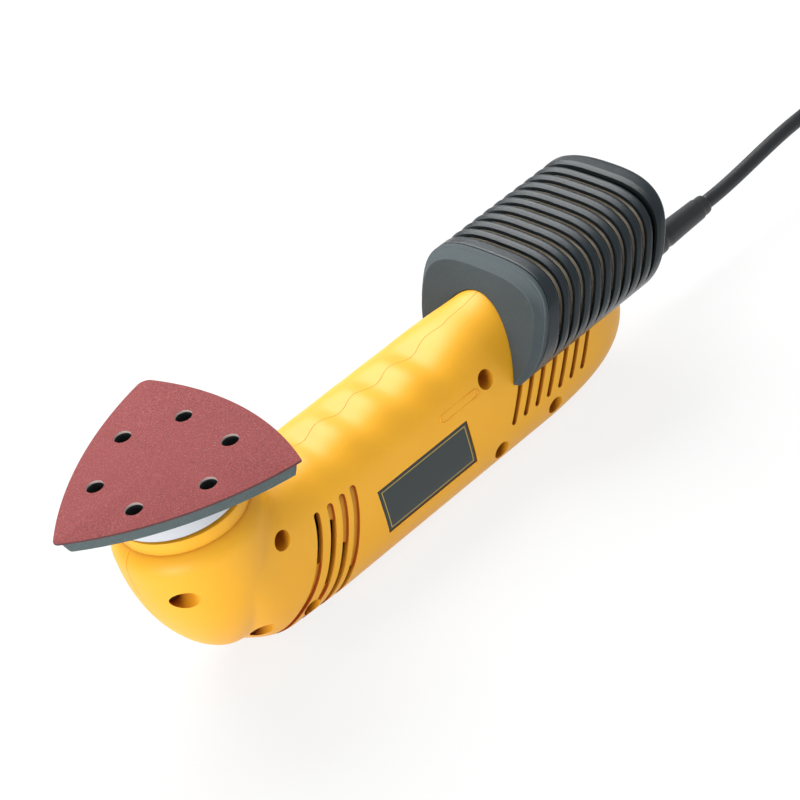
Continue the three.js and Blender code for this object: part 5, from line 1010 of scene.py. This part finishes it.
def pad_outline(inset, side_steps=60, corner_steps=14):
    """Three arcs through the corners, each with its own bow, joined by corner arcs that touch both from
    inside, all drawn in by an inset. A corner's centre is where two circles cross."""
    sides = []
    for corner, after, sag in zip(PAD_CORNERS, np.roll(PAD_CORNERS, -1, 0), PAD_SAGS):
        chord = np.linalg.norm(after - corner)
        radius = (chord ** 2 / 4 + sag ** 2) / (2 * sag)
        outward = np.array((after[1] - corner[1], corner[0] - after[0])) / chord
        sides.append((radius, (corner + after) / 2 - outward * (radius - sag)))
    fillets = []
    for number, corner in enumerate(PAD_CORNERS):
        (radius_a, centre_a), (radius_b, centre_b) = sides[number - 1], sides[number]
        reach_a, reach_b = radius_a - inset - CORNER_RADII[number], radius_b - inset - CORNER_RADII[number]
        way = centre_b - centre_a
        span = np.linalg.norm(way)
        along = (span ** 2 + reach_a ** 2 - reach_b ** 2) / (2 * span)
        across = np.sqrt(reach_a ** 2 - along ** 2)
        square = np.array((-way[1], way[0]))
        crossings = [centre_a + (along * way + side * across * square) / span for side in (1, -1)]
        fillets.append(min(crossings, key=lambda point: np.linalg.norm(point - corner)))
    arcs = []
    for number in range(3):
        fillet, after = fillets[number], fillets[(number + 1) % 3]
        radius_a, centre_a = sides[number - 1]
        radius_b, centre_b = sides[number]
        for centre, radius, start, end, steps in (
            (fillet, CORNER_RADII[number], fillet - centre_a, fillet - centre_b, corner_steps),
            (centre_b, radius_b - inset, fillet - centre_b, after - centre_b, side_steps),
        ):
            first = np.arctan2(start[1], start[0])
            sweep = (np.arctan2(end[1], end[0]) - first) % (2 * np.pi)
            angle = first + sweep * np.linspace(0.0, 1.0, steps, endpoint=False)
            arcs.append(centre + radius * np.stack([np.cos(angle), np.sin(angle)], -1))
    return np.concatenate(arcs) + (PAD_CENTRE_X, 0.0)


def pad_slab(name, rows):
    """A slab with the pad's outline: one row for each [inset, height]."""
    rings = [np.insert(pad_outline(inset), 2, height, axis=1) for inset, height in rows]
    return skin(name, in_place(np.stack(rings)))


pad_middle = (PAD_CENTRE_X, 0.0, 0.0)
hole_angles = np.radians(np.add.outer((0.0, 120.0, 240.0), (-HOLE_SPREAD, HOLE_SPREAD)).ravel())


def hole_bars(radius, bottom, top):
    """Six upright round cutters on the ring of dust holes."""
    middles = np.insert(HOLE_RING * ray(hole_angles), 2, 0.0, axis=1) + pad_middle
    return joined([round_bore(radius, bottom, top, middle, sides=56) for middle in middles])


sheet = pad_slab("grit_sheet", [
    (0.3, SHEET_BACK), (0.0, SHEET_BACK + 0.15), (0.0, PAD_FACE - 0.25), (0.08, PAD_FACE - 0.08),
    (0.3, PAD_FACE),
])
combined(sheet, hole_bars(HOLE_RADIUS, SHEET_BACK - 3.0, PAD_FACE + 3.0))
creased(sheet, 30)
red_grit, tree, place = new_material("red_grit")
grit = noise(tree, place, 1500.0, 2.0, 0.7)
clumps = noise(tree, place, 620.0, 3.0, 0.6)
sparks = node(tree, "TexVoronoi", {"Scale": 1500.0, "Vector": place}).outputs["Distance"]
colour = colour_mix(tree, between(tree, grit, 0.36, 0.6), linear(56, 20, 24), linear(174, 86, 82))
colour = colour_mix(tree, between(tree, clumps, 0.3, 0.7), colour, linear(138, 58, 58))
colour = colour_mix(tree, noise(tree, place, 28.0, 2.0), colour, linear(140, 60, 62))
spark_share = reckon(tree, "MULTIPLY", between(tree, sparks, 0.22, 0.1), 0.35)
colour = colour_mix(tree, spark_share, colour, linear(236, 196, 190))

# Its cut edges show the paper: dark on the outline, pale with dust in the holes
face_up = node(tree, "SeparateXYZ", {0: node(tree, "NewGeometry").outputs["Normal"]}).outputs["Z"]
from_middle = node(tree, "VectorMath", {
    0: place, 1: in_place(pad_middle).tolist()}, operation="SUBTRACT").outputs["Vector"]
from_middle = node(tree, "VectorMath", {
    0: from_middle, 1: (1.0, 1.0, 0.0)}, operation="MULTIPLY").outputs["Vector"]
distance = node(tree, "VectorMath", {0: from_middle}, operation="LENGTH").outputs["Value"]
in_hole = reckon(tree, "LESS_THAN", distance, (HOLE_RING + HOLE_RADIUS + 0.5) * MM)
edge_colour = colour_mix(tree, in_hole, linear(92, 58, 60), linear(226, 206, 200))
colour = colour_mix(tree, between(tree, face_up, 0.5, 0.9), edge_colour, colour)
give(sheet, surfaced(red_grit, colour, 0.85, grit, 0.0002))
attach(sheet, "pad")
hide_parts("abrasive_sheet")


# Foam pad: dense grey foam 6 mm thick between the sheet and the plate, cut with a slight taper. The dust
# holes and the screw's pocket go through it.
foam = pad_slab("foam_cushion", [
    (3.5, 87.2), (3.2, 87.35), (3.0, 88.0), (2.5, 89.6), (2.05, 91.4), (1.7, 92.8), (1.65, 93.05),
    (1.9, 93.2),
])
combined(foam, hole_bars(HOLE_RADIUS + 0.15, 84.0, 97.0))
combined(foam, round_bore(8.0, 84.0, 97.0, pad_middle))
creased(foam, 35)
grey_foam, tree, place = new_material("grey_foam")
pores = node(tree, "TexVoronoi", {"Scale": 1900.0, "Vector": place}).outputs["Distance"]
colour = colour_mix(tree, between(tree, pores, 0.1, 0.5), linear(58, 69, 71), linear(90, 104, 105))
colour = colour_mix(tree, noise(tree, place, 260.0, 3.0), colour, linear(76, 89, 91))
surfaced(grey_foam, colour, 0.9, pores, 0.0002, 0.9)
# Painted shade: the dust holes and the screw's pocket in the foam are drawn towards near black by the
# occlusion mask
give(foam, with_painted_recess_shade(grey_foam, linear(6, 7, 7), 0.008, 0.4, 0.92))
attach(foam, "pad")
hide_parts("foam_pad")


# Pad plate: white moulded plate under the foam, with dust slots, a round skirt that turns just above the
# head's mouth, and the hub that holds the pad's bearing
SKIRT_RADIUS, SKIRT_INNER, SKIRT_BOTTOM = 26.5, 24.7, 78.4
PLATE_BACK, PLATE_TOP = 84.9, 86.9
SLOT_NEAR, SLOT_FAR, DUST_SLOT_HALF = 17.5, 27.0, 2.6
HUB_PROFILE = [
    (11.05, 71.0), (13.45, 71.0), (13.65, 71.3), (13.65, PLATE_BACK + 0.5), (8.0, PLATE_BACK + 0.5),
    (8.0, 79.5), (9.5, 79.5), (9.5, 78.3), (11.05, 78.3),
]
SKIRT_PROFILE = [
    (SKIRT_INNER, PLATE_BACK + 1.0), (SKIRT_INNER, SKIRT_BOTTOM + 0.3), (SKIRT_INNER + 0.3, SKIRT_BOTTOM),
    (SKIRT_RADIUS - 0.4, SKIRT_BOTTOM), (SKIRT_RADIUS, SKIRT_BOTTOM + 0.4), (SKIRT_RADIUS, PLATE_BACK + 1.0),
]
backing = pad_slab("backing_plate", [
    (7.5, PLATE_BACK), (7.1, PLATE_BACK + 0.2), (7.0, PLATE_BACK + 0.5), (7.0, PLATE_TOP - 0.3),
    (7.3, PLATE_TOP),
])
combined(backing, turned("skirt", SKIRT_PROFILE, pad_middle, "z", 160), "UNION")
slot_cutters = []
for a in hole_angles:
    out, side = ray(a), ray(a + np.pi / 2) * DUST_SLOT_HALF
    corners = np.array((
        out * SLOT_NEAR - side, out * SLOT_FAR - side, out * SLOT_FAR + side, out * SLOT_NEAR + side,
    )) + (PAD_CENTRE_X, 0.0)
    rows = [np.insert(corners, 2, z, axis=1) for z in (PLATE_BACK + 1.05, 90.0)]
    slot_cutters.append(skin("slot", in_place(np.stack(rows))))
combined(backing, joined(slot_cutters))
combined(backing, round_bore(8.0, 80.0, 90.0, pad_middle))
combined(backing, turned("hub", HUB_PROFILE, pad_middle, "z", 96), "UNION")
creased(backing, 30)
give(backing, moulded(
    "white_plastic", linear(190, 194, 200), linear(208, 211, 216), (0.22, 0.34), 2600.0, 0.00003, 30.0))
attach(backing, "pad")
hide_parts("pad_plate")


# Drive: steel shafts, bearings and gears, a cast gear case, laminated cores, copper windings and commutator,
# carbon brushes in brass boxes. They stay as they are in the solid model and get worked metal surfaces.
def worked_metal(name, dark, light, gloss, mark_scale, mark_depth, stretch=None, edge=None):
    """Worked metal: tone, gloss and fine marks follow one stretched noise, and edges may be rubbed bright."""
    material = moulded(name, dark, light, gloss, mark_scale, mark_depth, 90.0, edge, stretch)
    shader_of(material)["Metallic"].default_value = 1.0
    return material


def banded(name, dark, light, band_scale, metallic, gloss, distortion):
    """Bands along the shaft, for stacked sheets or wound wire: a wave feeds colour and bump."""
    material, tree, place = new_material(name)
    bands = node(tree, "TexWave", {
        "Vector": place, "Scale": band_scale, "Distortion": distortion, "Detail": 2.0, "Detail Scale": 2.0,
    }, bands_direction="X").outputs["Fac"]
    colour = colour_mix(tree, bands, dark, light)
    middle = tuple(0.5 * (a + b) for a, b in zip(dark, light))
    colour = colour_mix(tree, noise(tree, place, 320.0, 3.0), colour, middle)
    shader_of(material)["Metallic"].default_value = metallic
    return surfaced(material, colour, gloss, bands, 0.0001, 0.9)


bright_steel = worked_metal(
    "bright_steel", linear(176, 178, 182), linear(206, 208, 212), (0.18, 0.32), 900.0, 0.00002,
    (1.0, 8.0, 8.0))
dark_steel = worked_metal(
    "dark_steel", linear(82, 84, 88), linear(112, 114, 120), (0.3, 0.46), 1300.0, 0.00004,
    edge=linear(186, 188, 192))
cast_alloy = worked_metal(
    "cast_alloy", linear(150, 152, 154), linear(178, 180, 182), (0.42, 0.6), 1600.0, 0.00012,
    edge=linear(214, 216, 218))
brass = worked_metal(
    "brass", linear(186, 148, 78), linear(212, 176, 100), (0.2, 0.34), 1100.0, 0.00002, (8.0, 1.0, 1.0))
copper_bars = worked_metal(
    "copper_bars", linear(178, 104, 70), linear(206, 132, 92), (0.22, 0.36), 1000.0, 0.00003, (1.0, 6.0, 6.0))
copper_wire = banded("copper_wire", linear(112, 52, 28), linear(196, 112, 64), 330.0, 0.85, 0.34, 1.5)
core_sheets = banded("core_sheets", linear(66, 68, 72), linear(116, 118, 122), 620.0, 0.9, 0.42, 0.2)
carbon = moulded("carbon", linear(30, 30, 32), linear(46, 46, 49), (0.5, 0.62), 1700.0, 0.00008, 60.0)
for material, names in (
    (bright_steel, (
        "spindle", "spindle_bearing_lower", "spindle_bearing_upper", "pad_bearing", "armature_shaft",
        "motor_bearing_front", "motor_bearing_rear", "brush_spring_right", "brush_spring_left")),
    (dark_steel, (
        "crown_gear", "bevel_pinion", "pad_screw", "balance_weight", "clamp_screw_1", "clamp_screw_2",
        *(f"housing_screw_{number}" for number in range(1, 8)))),
    (core_sheets, ("armature_core", "stator_core")),
    (copper_wire, ("armature_winding_front", "armature_winding_rear", "field_coil_right", "field_coil_left")),
    (copper_bars, ("commutator",)),
    (cast_alloy, ("gear_case",)),
    (brass, ("brush_holder_right", "brush_holder_left")),
    (carbon, ("carbon_brush_right", "carbon_brush_left")),
    (black_plastic, ("cooling_fan", "fan_baffle", "switch_body")),
    (slate_plastic, ("cord_clamp",)),
):
    for name in names:
        give(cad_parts[name], material)
for pin in pins:
    give(pin, brass)


# Studio: a plain white floor that the tool lies on, a white surround, and three soft lamps. The floor keeps
# the tool's shadow, and the camera and glossy surfaces see it white.
floor_mesh = bpy.data.meshes.new("studio_floor")
floor_mesh.from_pydata([(-6, -6, 0), (6, -6, 0), (6, 6, 0), (-6, 6, 0)], [], [(0, 1, 2, 3)])
floor = bpy.data.objects.new("studio_floor", floor_mesh)
bpy.context.scene.collection.objects.link(floor)
floor_white, tree, place = new_material("floor_white")
shader_of(floor_white)["Base Color"].default_value = linear(236, 236, 236)
shader_of(floor_white)["Roughness"].default_value = 0.9
rays = node(tree, "LightPath").outputs
seen = reckon(tree, "MULTIPLY", reckon(tree, "MAXIMUM", rays["Is Camera Ray"], rays["Is Glossy Ray"]), 0.82)
blend = node(tree, "MixShader", {
    0: seen,
    1: tree.nodes["Principled BSDF"].outputs["BSDF"],
    2: node(tree, "Emission", {"Color": (1.0, 1.0, 1.0, 1.0), "Strength": 1.0}).outputs["Emission"],
})
feed(tree, tree.nodes["Material Output"].inputs["Surface"], blend.outputs["Shader"])
give(floor, floor_white)

world = bpy.data.worlds.new("studio")
bpy.context.scene.world = world
world.use_nodes = True
sky = world.node_tree
sky.nodes["Background"].inputs["Color"].default_value = (1.0, 1.0, 1.0, 1.0)
feed(sky, sky.nodes["Background"].inputs["Strength"], reckon(
    sky, "MULTIPLY_ADD", node(sky, "LightPath").outputs["Is Camera Ray"], 0.55, 0.45))

for name, place, aim, size, power in (
    ("top_lamp", (0.15, 0.85, 1.05), (-0.02, 0.0, 0.05), 1.1, 27.0),
    ("near_lamp", (-1.15, -0.45, 0.24), (-0.1, 0.0, 0.03), 0.5, 8.0),
    ("rear_lamp", (0.9, -0.7, 0.6), (0.02, 0.0, 0.04), 0.8, 0.4),
):
    lamp_data = bpy.data.lights.new(name, "AREA")
    lamp_data.shape = "SQUARE"
    lamp_data.size = size
    lamp_data.energy = power
    lamp = bpy.data.objects.new(name, lamp_data)
    turn = (Vector(aim) - Vector(place)).to_track_quat("-Z", "Y")
    lamp.matrix_world = Matrix.Translation(place) @ turn.to_matrix().to_4x4()
    bpy.context.scene.collection.objects.link(lamp)

bpy.context.scene.view_settings.view_transform = "Standard"
